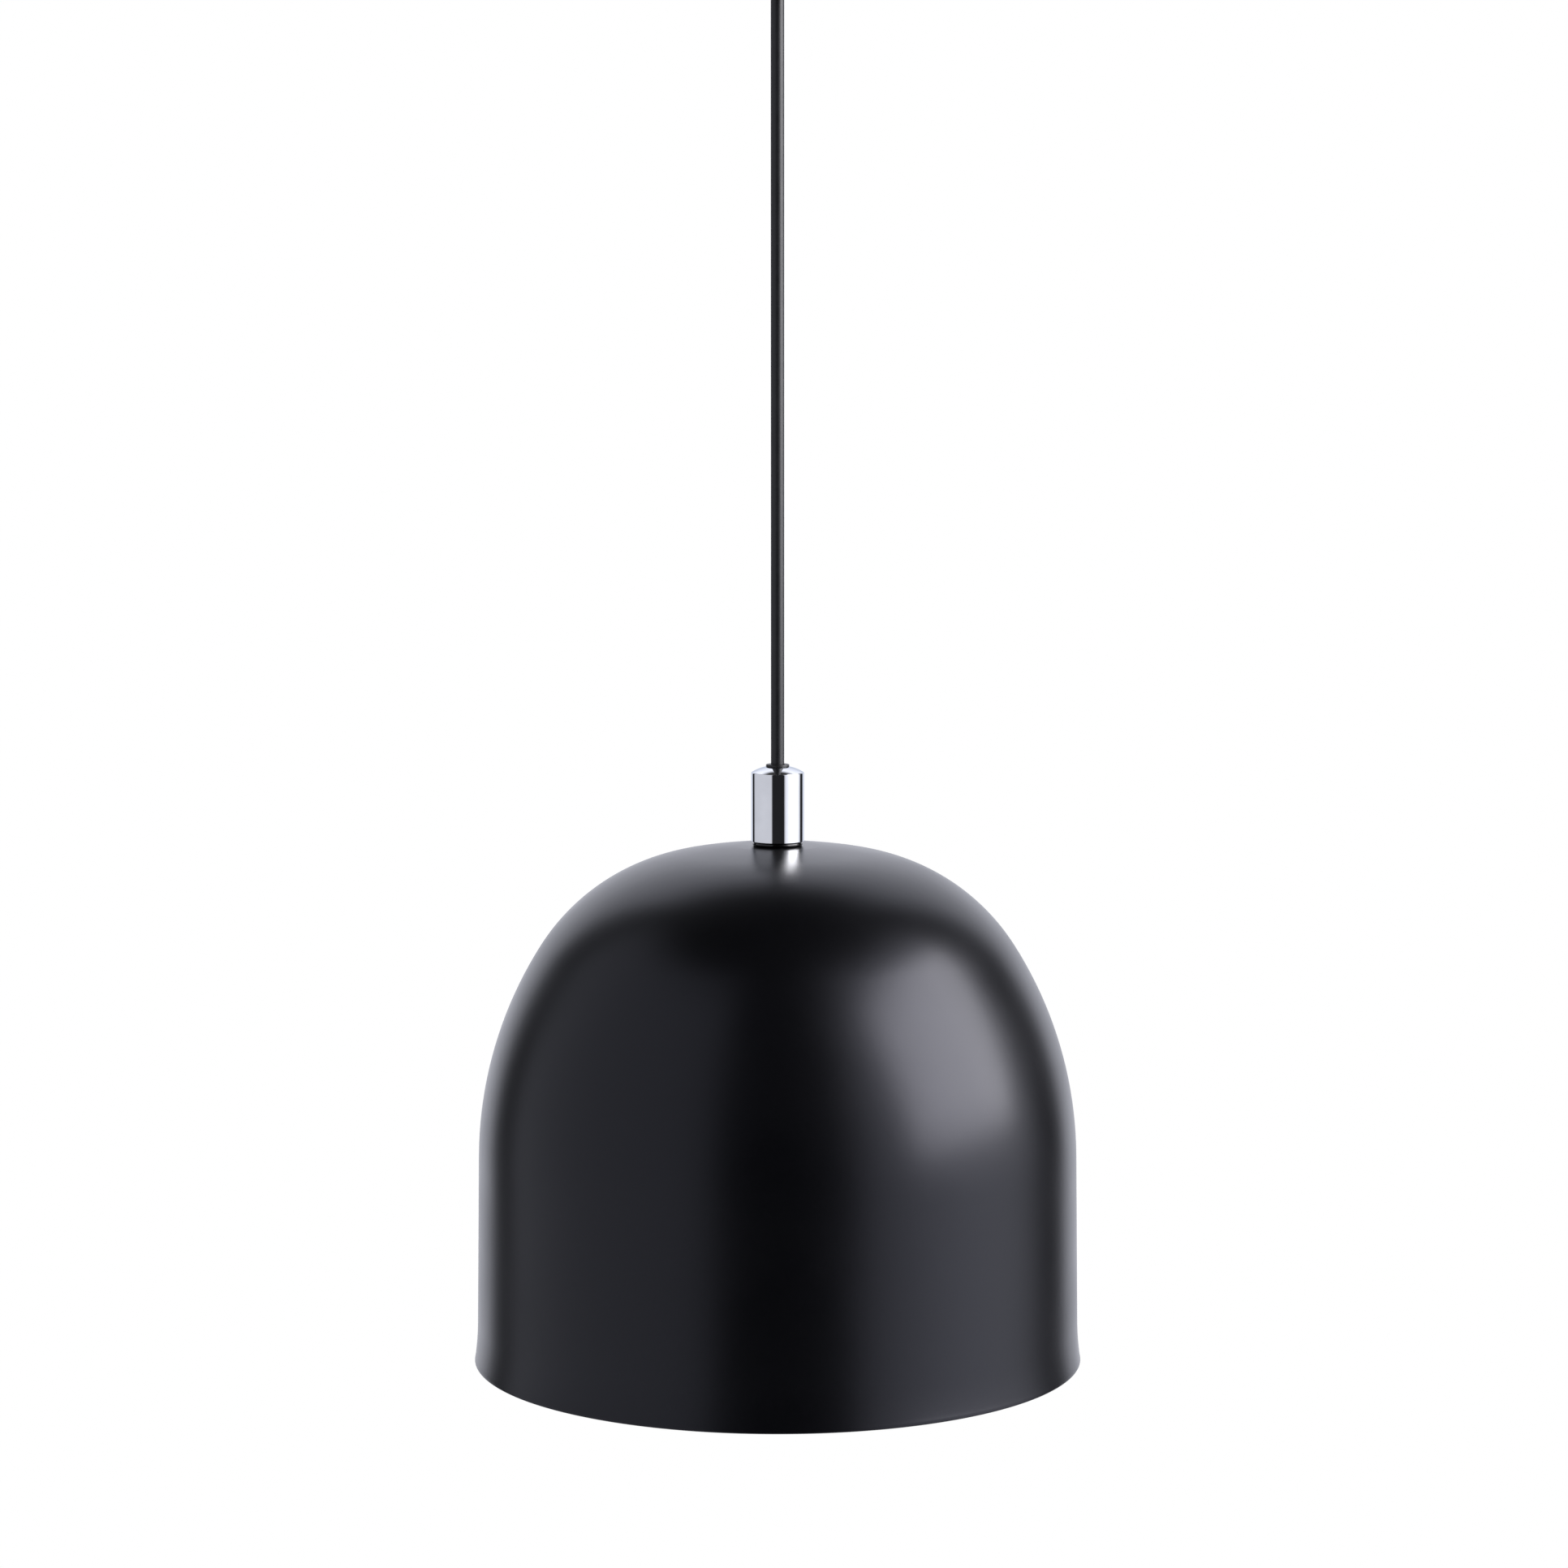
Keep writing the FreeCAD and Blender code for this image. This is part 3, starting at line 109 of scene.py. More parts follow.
# the studio: a white sheet behind, a wall of light on each side, darkness behind the camera.
# ring: degrees from straight behind (+ is right), share of the full brightness
studio = {
    "ring": ((-180, 0.008), (-158, 0.008), (-153, 0.3), (-120, 0.31), (-90, 0.3), (-62, 0.3),
             (-57, 0.01), (-42, 0.01), (-37, 0.58), (36, 0.58), (42, 0.01), (61, 0.01), (68, 0.34),
             (82, 0.62), (101, 0.76), (123, 0.62), (145, 0.4), (152, 0.008), (180, 0.008)),
    "power": 2.4,
    "tint": "#eef0fb",
    "ceiling": 0.018,
    # degrees above the horizon
    "wallTop": 47,
    "ceilingStart": 60,
}


def addWorld():
    world = bpy.data.worlds.new("studio")
    bpy.context.scene.world = world
    world.use_nodes = True
    tree = world.node_tree
    tree.nodes.clear()
    place = addNode(tree, "ShaderNodeTexCoord")
    split = addNode(tree, "ShaderNodeSeparateXYZ", links={"Vector": place.outputs["Generated"]})
    around = addNode(tree, "ShaderNodeMath", {"operation": "ARCTAN2"}, {
        0: split.outputs["X"], 1: split.outputs["Y"]})
    share = addNode(tree, "ShaderNodeMath", {"operation": "MULTIPLY_ADD", 1: 1 / fullTurn, 2: 0.5},
                    {0: around.outputs[0]})
    tint = linear(studio["tint"])
    stops = [(0.5 + degrees / 360, tuple(part * tone for part in tint[:3]) + (1,))
             for degrees, tone in studio["ring"]]
    ring = fillRamp(addNode(tree, "ShaderNodeValToRGB", links={"Fac": share.outputs[0]}), stops)
    rise = addNode(tree, "ShaderNodeMath", {"operation": "ARCSINE"}, {0: split.outputs["Z"]})
    height = addNode(tree, "ShaderNodeMapRange", {
        "From Min": math.radians(studio["wallTop"]),
        "From Max": math.radians(studio["ceilingStart"])}, {"Value": rise.outputs[0]})
    ceiling = (studio["ceiling"],) * 3 + (1,)
    mixed = addNode(tree, "ShaderNodeMix", {"data_type": "RGBA", 7: ceiling}, {
        0: height.outputs["Result"], 6: ring.outputs["Color"]})
    seen = addNode(tree, "ShaderNodeLightPath")
    light = addNode(tree, "ShaderNodeBackground", {"Strength": studio["power"]},
                    {"Color": mixed.outputs[2]})
    plain = addNode(tree, "ShaderNodeBackground", {"Color": (1, 1, 1, 1), "Strength": 1.0})
    both = addNode(tree, "ShaderNodeMixShader", links={
        0: seen.outputs["Is Camera Ray"], 1: light.outputs[0], 2: plain.outputs[0]})
    addNode(tree, "ShaderNodeOutputWorld", links={"Surface": both.outputs[0]})


# softboxes: degrees from straight behind (+ is right), degrees above the horizon, distance, width,
# height, power, tint; the one under the lamp faces down and lights the floor
softboxes = {
    "keyRight": (103, 25, 1.7, 1.6, 1.36, 47, "#fffdff"),
    "floorFill": (0, -90, 1.2, 2.6, 2.6, 60, "#fffefb"),
}


def addSoftbox(name, around, rise, distance, width, height, power, tint):
    aim = Vector((0, 0, (rimHeight + seatHeight) / 2))
    around, rise = math.radians(around), math.radians(rise)
    level = math.cos(rise)
    out = Vector((math.sin(around) * level, math.cos(around) * level, math.sin(rise)))
    bpy.ops.object.light_add(type="AREA", location=aim + out * distance)
    light = bpy.context.object
    light.name = name
    facing = out if rise > 0 else -out
    light.rotation_euler = facing.to_track_quat("Z", "Y").to_euler()
    light.data.shape = "RECTANGLE"
    light.data.size = width
    light.data.size_y = height
    light.data.energy = power
    light.data.color = linear(tint)[:3]
    light.visible_camera = False


def linear(colour):
    # sRGB hex to linear light
    parts = [int(colour[i:i + 2], 16) / 255 for i in (1, 3, 5)]
    light = [p / 12.92 if p <= 0.04045 else ((p + 0.055) / 1.055) ** 2.4 for p in parts]
    return tuple(light) + (1.0,)


floorSizes = {"radius": 3.2, "underRim": 2.0, "patches": 3.0}


def addFloor():
    # pale painted floor under the lamp
    bpy.ops.mesh.primitive_circle_add(vertices=96, radius=floorSizes["radius"], fill_type="NGON",
                                      location=(0, 0, rimHeight - floorSizes["underRim"]))
    floor = bpy.context.object
    floor.name = "floor"
    material, tree, shader = newMaterial("pale painted floor", "#f4f4f4", roughness=0.6)
    coords = addNode(tree, "ShaderNodeTexCoord")
    mottle = addNode(tree, "ShaderNodeTexNoise", {"Scale": floorSizes["patches"], "Detail": 3.0}, {
        "Vector": coords.outputs["Object"]})
    tone = fillRamp(addNode(tree, "ShaderNodeValToRGB", links={"Fac": mottle.outputs["Fac"]}), [
        (0.3, linear("#f4f4f3")), (0.7, linear("#f7f7f6"))])
    tree.links.new(tone.outputs["Color"], shader.inputs["Base Color"])
    floor.data.materials.append(material)


# ---- materials

def newMaterial(name, colour, roughness=0.5, metallic=0.0, **sockets):
    material = bpy.data.materials.new(name)
    material.use_nodes = True
    tree = material.node_tree
    shader = tree.nodes["Principled BSDF"]
    shader.inputs["Base Color"].default_value = linear(colour)
    shader.inputs["Roughness"].default_value = roughness
    shader.inputs["Metallic"].default_value = metallic
    for socket, value in sockets.items():
        shader.inputs[socket.replace("_", " ")].default_value = value
    return material, tree, shader


def noiseAt(tree, size, detail=2.0, stretch=None):
    # noise whose grains are about this many metres across
    coords = addNode(tree, "ShaderNodeTexCoord")
    source = coords.outputs["Object"]
    if stretch:
        mapped = addNode(tree, "ShaderNodeMapping", {"Scale": stretch}, {"Vector": source})
        source = mapped.outputs[0]
    return addNode(tree, "ShaderNodeTexNoise", {"Scale": 1 / size, "Detail": detail},
                   {"Vector": source})


def varyTone(tree, shader, noise, dark, light, low=0.3, high=0.7):
    ramp = fillRamp(addNode(tree, "ShaderNodeValToRGB", links={"Fac": noise.outputs["Fac"]}), [
        (low, linear(dark)), (high, linear(light))])
    tree.links.new(ramp.outputs["Color"], shader.inputs["Base Color"])


def varyRoughness(tree, shader, noise, low, high):
    spread = addNode(tree, "ShaderNodeMapRange", {
        "From Min": 0.3, "From Max": 0.7, "To Min": low, "To Max": high},
        {"Value": noise.outputs["Fac"]})
    tree.links.new(spread.outputs["Result"], shader.inputs["Roughness"])


def addBumps(tree, shader, layers):
    # layers: noise node, depth in metres
    normal = None
    for noise, depth in layers:
        links = {"Height": noise.outputs["Fac"]}
        if normal:
            links["Normal"] = normal
        bump = addNode(tree, "ShaderNodeBump", {"Strength": 1.0, "Distance": depth}, links)
        normal = bump.outputs[0]
    tree.links.new(normal, shader.inputs["Normal"])


def powderCoat():
    # satin black polyester powder coat, sprayed and baked on steel: soft wide reflections,
    # a shallow orange peel and a fine grain in the gloss
    material, tree, shader = newMaterial("satin black powder coat", "#020203", roughness=0.3,
                                         IOR=1.42, Specular_Tint=linear("#f1f2ff"))
    peel = noiseAt(tree, 0.0035, detail=1.0)
    grain = noiseAt(tree, 0.0006, detail=2.0)
    cloud = noiseAt(tree, 0.04, detail=3.0)
    varyTone(tree, shader, grain, "#010102", "#040406")
    varyRoughness(tree, shader, cloud, 0.28, 0.32)
    addBumps(tree, shader, [(peel, 0.00001), (grain, 0.000002)])
    return material


def whiteEnamel():
    # white stoved enamel inside the shade, sprayed: matt, a little uneven
    material, tree, shader = newMaterial("white stoved enamel", "#f2f1ed", roughness=0.45)
    peel = noiseAt(tree, 0.002, detail=2.0)
    cloud = noiseAt(tree, 0.03, detail=3.0)
    varyTone(tree, shader, cloud, "#f0efeb", "#f3f2ee")
    varyRoughness(tree, shader, peel, 0.4, 0.5)
    addBumps(tree, shader, [(peel, 0.00002)])
    return material


def chromePlate():
    # bright chromium on turned brass: a clean mirror, cold grey, faint turning marks
    material, tree, shader = newMaterial("bright chrome plate", "#f0f1f2", roughness=0.03,
                                         metallic=1.0, Specular_Tint=linear("#bcc1c8"))
    marks = noiseAt(tree, 0.004, detail=2.0, stretch=(0.02, 0.02, 12))
    smear = noiseAt(tree, 0.006, detail=2.0)
    varyTone(tree, shader, smear, "#edeeef", "#f4f5f6")
    varyRoughness(tree, shader, smear, 0.02, 0.045)
    addBumps(tree, shader, [(marks, 0.0000008)])
    return material


def cableJacket():
    # round PVC flex: extruded smooth, satin, faint die lines along it
    material, tree, shader = newMaterial("black PVC cable jacket", "#0c0d10", roughness=0.43,
                                         IOR=1.5)
    lines = noiseAt(tree, 0.0007, detail=1.0, stretch=(1, 1, 0.02))
    cloud = noiseAt(tree, 0.006, detail=2.0)
    varyTone(tree, shader, cloud, "#0a0b0e", "#0f1013")
    varyRoughness(tree, shader, cloud, 0.41, 0.45)
    addBumps(tree, shader, [(lines, 0.0000003)])
    return material


def mouldedNylon():
    # black polyamide, injection moulded: satin, fine spark-eroded grain
    material, tree, shader = newMaterial("moulded black nylon", "#0d0d0e", roughness=0.42, IOR=1.53)
    grain = noiseAt(tree, 0.0004, detail=2.0)
    varyTone(tree, shader, grain, "#0a0a0b", "#121213")
    varyRoughness(tree, shader, grain, 0.36, 0.48)
    addBumps(tree, shader, [(grain, 0.00001)])
    return material


def gasketRubber():
    # nitrile rubber ring, pressed smooth: wet-looking black
    material, tree, shader = newMaterial("black nitrile rubber", "#070707", roughness=0.12,
                                         IOR=1.52)
    wave = noiseAt(tree, 0.002, detail=2.0)
    varyTone(tree, shader, wave, "#050505", "#0a0a0a")
    varyRoughness(tree, shader, wave, 0.08, 0.2)
    addBumps(tree, shader, [(wave, 0.00006)])
    return material


def zincSteel():
    # zinc-plated steel, barrel plated: grey with a faint blue and yellow bloom
    material, tree, shader = newMaterial("zinc-plated steel", "#b4b6b8", roughness=0.32,
                                         metallic=1.0)
    bloom = noiseAt(tree, 0.005, detail=3.0)
    scuffs = noiseAt(tree, 0.0008, detail=3.0)
    varyTone(tree, shader, bloom, "#a9adb4", "#bfbcb0")
    varyRoughness(tree, shader, scuffs, 0.25, 0.42)
    addBumps(tree, shader, [(scuffs, 0.000004)])
    return material


def turnedBrass():
    # free-cutting brass, turned: warm yellow, fine rings, a little dull
    material, tree, shader = newMaterial("turned brass", "#c9a25a", roughness=0.28, metallic=1.0)
    rings = noiseAt(tree, 0.0012, detail=2.0, stretch=(0.05, 0.05, 3))
    tarnish = noiseAt(tree, 0.004, detail=3.0)
    varyTone(tree, shader, tarnish, "#b68c48", "#d2ad66")
    varyRoughness(tree, shader, tarnish, 0.22, 0.38)
    addBumps(tree, shader, [(rings, 0.000004)])
    return material


def nickelShell():
    # nickel-plated brass sheet, rolled to a lamp base: bright, with soft handling marks
    material, tree, shader = newMaterial("rolled nickel-plated shell", "#c4c2bd", roughness=0.24,
                                         metallic=1.0)
    marks = noiseAt(tree, 0.0015, detail=3.0)
    varyTone(tree, shader, marks, "#bebcb7", "#cac8c3")
    varyRoughness(tree, shader, marks, 0.22, 0.3)
    addBumps(tree, shader, [(marks, 0.000001)])
    return material


def phenolic():
    # black phenolic lampholder, hot pressed: deep black gloss with a slight wave
    material, tree, shader = newMaterial("pressed black phenolic", "#0a0909", roughness=0.16,
                                         IOR=1.6)
    wave = noiseAt(tree, 0.006, detail=2.0)
    dust = noiseAt(tree, 0.0005, detail=2.0)
    varyTone(tree, shader, dust, "#080707", "#100f0f")
    varyRoughness(tree, shader, dust, 0.12, 0.24)
    addBumps(tree, shader, [(wave, 0.00003)])
    return material


def steatite():
    # unglazed steatite ceramic: warm white, dry, fine grain
    material, tree, shader = newMaterial("steatite ceramic", "#dcd6c8", roughness=0.6)
    grain = noiseAt(tree, 0.0006, detail=3.0)
    varyTone(tree, shader, grain, "#d2ccbd", "#e6e0d3")
    varyRoughness(tree, shader, grain, 0.52, 0.7)
    addBumps(tree, shader, [(grain, 0.00002)])
    return material


def whitePolyamide():
    # natural polyamide terminal block: milky, waxy
    material, tree, shader = newMaterial("natural polyamide", "#e4e0d2", roughness=0.4,
                                         Subsurface_Weight=0.2, Subsurface_Scale=0.002)
    wave = noiseAt(tree, 0.002, detail=2.0)
    varyTone(tree, shader, wave, "#ded9c9", "#eae6da")
    varyRoughness(tree, shader, wave, 0.34, 0.46)
    addBumps(tree, shader, [(wave, 0.00001)])
    return material


def clearGlass():
    # blown soda-lime glass: clear, faintly green, slight waves from blowing
    material, tree, shader = newMaterial("clear blown glass", "#fbfdfc", roughness=0.0, IOR=1.5,
                                         Transmission_Weight=1.0)
    wave = noiseAt(tree, 0.02, detail=1.0)
    varyTone(tree, shader, wave, "#f8fbfa", "#fdfefe")
    addBumps(tree, shader, [(wave, 0.00002)])
    return material


def capGlass():
    # black glass insulator of the lamp base: glossy with flow marks
    material, tree, shader = newMaterial("pressed black cap glass", "#08070a", roughness=0.1,
                                         IOR=1.55)
    flow = noiseAt(tree, 0.003, detail=3.0)
    varyTone(tree, shader, flow, "#060508", "#100e13")
    varyRoughness(tree, shader, flow, 0.06, 0.2)
    addBumps(tree, shader, [(flow, 0.00003)])
    return material


def filamentPhosphor():
    # silicone with yellow phosphor round a strip of small chips: waxy yellow
    material, tree, shader = newMaterial("phosphor silicone", "#e6bf3c", roughness=0.45,
                                         Subsurface_Weight=0.3, Subsurface_Scale=0.001)
    chips = noiseAt(tree, 0.0012, detail=2.0, stretch=(1, 1, 0.8))
    varyTone(tree, shader, chips, "#dcae2a", "#efd062")
    varyRoughness(tree, shader, chips, 0.38, 0.55)
    addBumps(tree, shader, [(chips, 0.00003)])
    return material


def coreSleeve(name, dark, light, stripe=None):
    # PVC insulation of one core; the earth core has a second colour along it
    material, tree, shader = newMaterial(name, light, roughness=0.4, IOR=1.5)
    mottle = noiseAt(tree, 0.001, detail=2.0)
    if stripe:
        coords = addNode(tree, "ShaderNodeTexCoord")
        bands = addNode(tree, "ShaderNodeTexWave", {"Scale": 100.0, "bands_direction": "Y"},
                        {"Vector": coords.outputs["Object"]})
        ramp = fillRamp(addNode(tree, "ShaderNodeValToRGB", links={"Fac": bands.outputs["Fac"]}), [
            (0.45, linear(light)), (0.55, linear(stripe))])
        tree.links.new(ramp.outputs["Color"], shader.inputs["Base Color"])
    else:
        varyTone(tree, shader, mottle, dark, light)
    varyRoughness(tree, shader, mottle, 0.34, 0.46)
    addBumps(tree, shader, [(mottle, 0.00001)])
    return material


# ---- modelling helpers

def startPiece():
    if bpy.context.object and bpy.context.object.mode != "OBJECT":
        bpy.ops.object.mode_set(mode="OBJECT")
    bpy.ops.object.select_all(action="DESELECT")


def arc(centre, radius, start, end, count):
    # points on an arc in the outline's plane, angles in radians
    steps = [start + (end - start) * i / count for i in range(count + 1)]
    return [(centre[0] + radius * math.cos(a), centre[1] + radius * math.sin(a)) for a in steps]


def roundCorner(before, corner, after, radius, count=6):
    # the corner of an outline as a fillet
    b, c, a = Vector(before), Vector(corner), Vector(after)
    inward, outward = (b - c).normalized(), (a - c).normalized()
    half = inward.angle(outward) / 2
    reach = radius / math.tan(half)
    centre = c + (inward + outward).normalized() * (radius / math.sin(half))
    first, last = c + inward * reach - centre, c + outward * reach - centre
    start = math.atan2(first.y, first.x)
    turn = math.atan2(last.y, last.x) - start
    turn = (turn + math.pi) % fullTurn - math.pi
    return arc(centre, radius, start, start + turn, count)


def outlineWith(points):
    # points: (radius, height) or (radius, height, fillet); the outline is closed
    outline = []
    count = len(points)
    for i, point in enumerate(points):
        if len(point) == 3:
            after = points[(i + 1) % count][:2]
            outline += roundCorner(points[i - 1][:2], point[:2], after, point[2])
        else:
            outline.append(point)
    return outline


def spinOutline(name, outline, steps=96, closed=True):
    # draw an outline of radius and height edge by edge, then spin it about the Z axis
    startPiece()
    bpy.ops.mesh.primitive_plane_add(size=0.001, location=(0, 0, 0))
    piece = bpy.context.object
    piece.name = name
    piece.data.name = name
    bpy.ops.object.mode_set(mode="EDIT")
    bpy.ops.mesh.select_all(action="SELECT")
    bpy.ops.mesh.merge(type="CENTER")
    bpy.ops.transform.translate(value=(outline[0][0], 0, outline[0][1]))
    path = outline[1:] + ([outline[0]] if closed else [])
    here = outline[0]
    for there in path:
        step = (there[0] - here[0], 0, there[1] - here[1])
        bpy.ops.mesh.extrude_vertices_move(TRANSFORM_OT_translate={"value": step})
        here = there
    bpy.ops.mesh.select_all(action="SELECT")
    bpy.ops.mesh.remove_doubles(threshold=1e-6)
    bpy.ops.mesh.spin(steps=steps, angle=fullTurn, center=(0, 0, 0), axis=zAxis)
    bpy.ops.mesh.select_all(action="SELECT")
    bpy.ops.mesh.remove_doubles(threshold=2e-6)
    bpy.ops.mesh.normals_make_consistent(inside=False)
    bpy.ops.object.mode_set(mode="OBJECT")
    return piece


def smooth(piece, degrees=30):
    startPiece()
    piece.select_set(True)
    bpy.context.view_layer.objects.active = piece
    bpy.ops.object.shade_smooth_by_angle(angle=math.radians(degrees))


def applyModifier(piece, kind, **settings):
    startPiece()
    piece.select_set(True)
    bpy.context.view_layer.objects.active = piece
    bpy.ops.object.modifier_add(type=kind)
    modifier = piece.modifiers[-1]
    for name, value in settings.items():
        setattr(modifier, name, value)
    bpy.ops.object.modifier_apply(modifier=modifier.name)


def bakePlace(piece):
    # put the place and turn of an object into its mesh
    startPiece()
    piece.select_set(True)
    bpy.context.view_layer.objects.active = piece
    bpy.ops.object.transform_apply(location=True, rotation=True, scale=True)


def finish(piece, material, body, slot, *nodes):
    piece.data.materials.append(material)
    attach(piece, body)
    if nodes:
        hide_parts(*nodes)
    return piece


# ---- the cable, made first

cableSizes = {"radius": 0.0024, "bareEnd": 0.0288}


def makeCable():
    cordLow = spot("pendant_cord")[0]
    knuckleLow, knuckleHigh = spot("cord_knuckle")
    pivot = (knuckleLow.z + knuckleHigh.z) / 2
    exitHeight = spot("ferrule_bush")[1].z
    straight = cableSizes["bareEnd"]  # six diameters from each fitting
    heights = [cordLow.z, exitHeight + straight, pivot - straight, pivot]
    curve = bpy.data.curves.new("cable", "CURVE")
    curve.dimensions = "3D"
    spline = curve.splines.new("NURBS")
    spline.points.add(len(heights) - 1)
    for point, height in zip(spline.points, heights):
        point.co = (0, 0, height, 1)
    spline.order_u = 3
    spline.use_endpoint_u = True
    spline.resolution_u = 8
    curve.bevel_depth = cableSizes["radius"]
    curve.bevel_resolution = 10
    curve.use_fill_caps = True
    cable = bpy.data.objects.new("cable", curve)
    bpy.context.scene.collection.objects.link(cable)
    return finish(cable, cableJacket(), "cord", "cable_black", "pendant_cord", "cord_knuckle")


# ---- shade

shadeSizes = {
    "wall": 0.0008,
    "crown": 0.197,
    "shoulder": 0.0763,
    "side": 0.1432,
    "seat": 0.015,
    "skirtHeight": 0.0753,
    "skirtTaper": 0.0008,
    "flareHeight": 0.0142,
    "flare": 0.0012,
    "hole": 0.0052,
    "steps": 224,
}


def crossing(centreA, radiusA, centreB, radiusB):
    # the outer crossing of two circles
    apart = centreB - centreA
    along = (radiusA ** 2 - radiusB ** 2 + apart.length_squared) / (2 * apart.length)
    across = math.sqrt(radiusA ** 2 - along ** 2)
    ahead = apart.normalized()
    foot = centreA + ahead * along
    sideways = Vector((-ahead.y, ahead.x)) * across
    return max(foot + sideways, foot - sideways, key=lambda point: point.x)


def angleTo(centre, point):
    return math.atan2(point[1] - centre[1], point[0] - centre[0])


def domeOutline(inset):
    # from the seat down to the rim, this far inside the outer face
    s = shadeSizes
    tall = seatHeight - rimHeight
    foot = Vector((rimRadius - s["flare"] - s["skirtTaper"], s["skirtHeight"]))
    flareFoot = Vector((rimRadius - s["flare"], s["flareHeight"]))
    slope = math.atan2(s["skirtTaper"], s["skirtHeight"] - s["flareHeight"])
    crownCentre = Vector((0, tall - math.sqrt(s["crown"] ** 2 - s["seat"] ** 2)))
    sideCentre = foot - Vector((math.cos(slope), math.sin(slope))) * s["side"]
    bendCentre = crossing(crownCentre, s["crown"] - s["shoulder"],
                          sideCentre, s["side"] - s["shoulder"])
    high = angleTo(crownCentre, bendCentre)
    low = angleTo(sideCentre, bendCentre)
    rim = Vector((rimRadius, 0))
    chord = rim - flareFoot
    tilt = (flareFoot - foot).angle(chord)
    flareRadius = chord.length / (2 * math.sin(tilt))
    flareCentre = flareFoot + Vector((math.cos(slope), math.sin(slope))) * flareRadius
    seatAngle = math.asin((tall - inset - crownCentre.y) / (s["crown"] - inset))
    points = arc(crownCentre, s["crown"] - inset, seatAngle, high, 24)
    points += arc(bendCentre, s["shoulder"] - inset, high, low, 28)[1:]
    points += arc(sideCentre, s["side"] - inset, low, slope, 20)[1:]
    flareStart = angleTo(flareCentre, flareFoot)
    flareEnd = angleTo(flareCentre, rim)
    flareStart += fullTurn if flareStart < 0 else 0
    flareEnd += fullTurn if flareEnd < 0 else 0
    down = arc(flareCentre, flareRadius + inset, flareStart, flareEnd, 10)
    last = points[-1]
    points += [(last[0] + (down[0][0] - last[0]) * i / 8, last[1] + (down[0][1] - last[1]) * i / 8)
               for i in range(1, 8)]
    return points + down


def makeShade():
    s = shadeSizes
    wall = s["wall"]
    outer = domeOutline(0)
    inner = domeOutline(wall)
    edge = wall * 0.45
    hemIn = (inner[-1][0], edge)
    hemOut = (outer[-1][0], edge)
    middle = (hemIn[0] + hemOut[0]) / 2
    half = (hemOut[0] - hemIn[0]) / 2
    hem = arc((middle, edge), half, 0, -math.pi, 8)
    hem = [(r, max(z, 0)) for r, z in hem]
    outer = [point for point in outer if point[1] > edge * 1.5]
    inner = [point for point in inner if point[1] > edge * 1.5]
    tall = seatHeight - rimHeight
    outline = [(s["hole"], tall)] + outer + hem + inner[::-1] + [(s["hole"], tall - wall)]
    outline = [(r, z + rimHeight) for r, z in outline]
    shade = spinOutline("shade_shell", outline, s["steps"])
    smooth(shade, 35)
    finish(shade, powderCoat(), "lamp", "shade_paint", "shade")
    shade.data.materials.append(whiteEnamel())
    heart = Vector((0, 0, rimHeight + s["flareHeight"]))
    for face in shade.data.polygons:  # the inside is white
        outward = (face.center - heart).normalized()
        if face.normal.dot(outward) < 0 and face.center.z > rimHeight + edge:
            face.material_index = 1
    return shade


# ---- ferrule, bush and gasket

ferruleSizes = {
    "wall": 0.0012,
    "dome": 0.015,  # radius of its rounded top
    "edge": 0.0004,
    "footEdge": 0.0002,
    "hole": 0.0034,
    "rise": 0.0021,
    "land": 0.0043,
}


def makeFerrule():
    s = ferruleSizes
    low, high = spot("ferrule")
    side = high.z - s["rise"]
    r = (high.y - low.y) / 2
    chord = Vector((s["land"] - r, high.z - side))
    across = Vector((chord.y, -chord.x)).normalized()
    middle = Vector((r, side)) + chord / 2
    reach = across * math.sqrt(s["dome"] ** 2 - (chord.length / 2) ** 2)
    centre = min(middle - reach, middle + reach, key=lambda point: point.x)
    start, end = angleTo(centre, (r, side)), angleTo(centre, (s["land"], high.z))
    dome = arc(centre, s["dome"], start, end, 14)
    edge = roundCorner((r, low.z), (r, side), dome[3], s["edge"], 8)
    inner = r - s["wall"]
    outline = [(inner, low.z), (r - s["footEdge"], low.z), (r, low.z + s["footEdge"])]
    outline += edge + dome[3:] + [
        (s["hole"], high.z), (s["hole"], high.z - s["wall"]), (inner, side - s["wall"])]
    ferrule = spinOutline("chrome_ferrule", outline, 128)
    smooth(ferrule, 40)
    return finish(ferrule, chromePlate(), "lamp", "chrome", "ferrule")


bushSizes = {"bore": 0.00245, "stem": 0.00325, "collar": 0.0009, "edge": 0.0002, "topEdge": 0.0004}


def makeBush():
    s = bushSizes
    low, high = spot("ferrule_bush")
    collar = (high.y - low.y) / 2
    foot = high.z - s["collar"]
    outline = outlineWith([
        (s["bore"], low.z), (s["stem"], low.z), (s["stem"], foot), (collar, foot, s["edge"]),
        (collar, high.z, s["topEdge"]), (s["bore"], high.z, s["edge"])])
    bush = spinOutline("cable_bush", outline, 96)
    smooth(bush, 40)
    return finish(bush, mouldedNylon(), "lamp", "black_nylon", "ferrule_bush")


gasketSizes = {"hole": 0.0052, "bulge": 0.45}  # the bulge of its edge, as a share of its height


def makeGasket():
    s = gasketSizes
    low, high = spot("ferrule_gasket")
    outer = (high.y - low.y) / 2
    rounding = (high.z - low.z) * s["bulge"]
    outline = outlineWith([
        (s["hole"], low.z), (outer, low.z, rounding), (outer, high.z, rounding),
        (s["hole"], high.z)])
    gasket = spinOutline("crown_gasket", outline, 128)
    smooth(gasket, 40)
    return finish(gasket, gasketRubber(), "lamp", "gasket_rubber", "ferrule_gasket")


# ---- ceiling end

cupSizes = {"wall": 0.0008, "corner": 0.005, "edge": 0.0002, "hole": 0.0052}


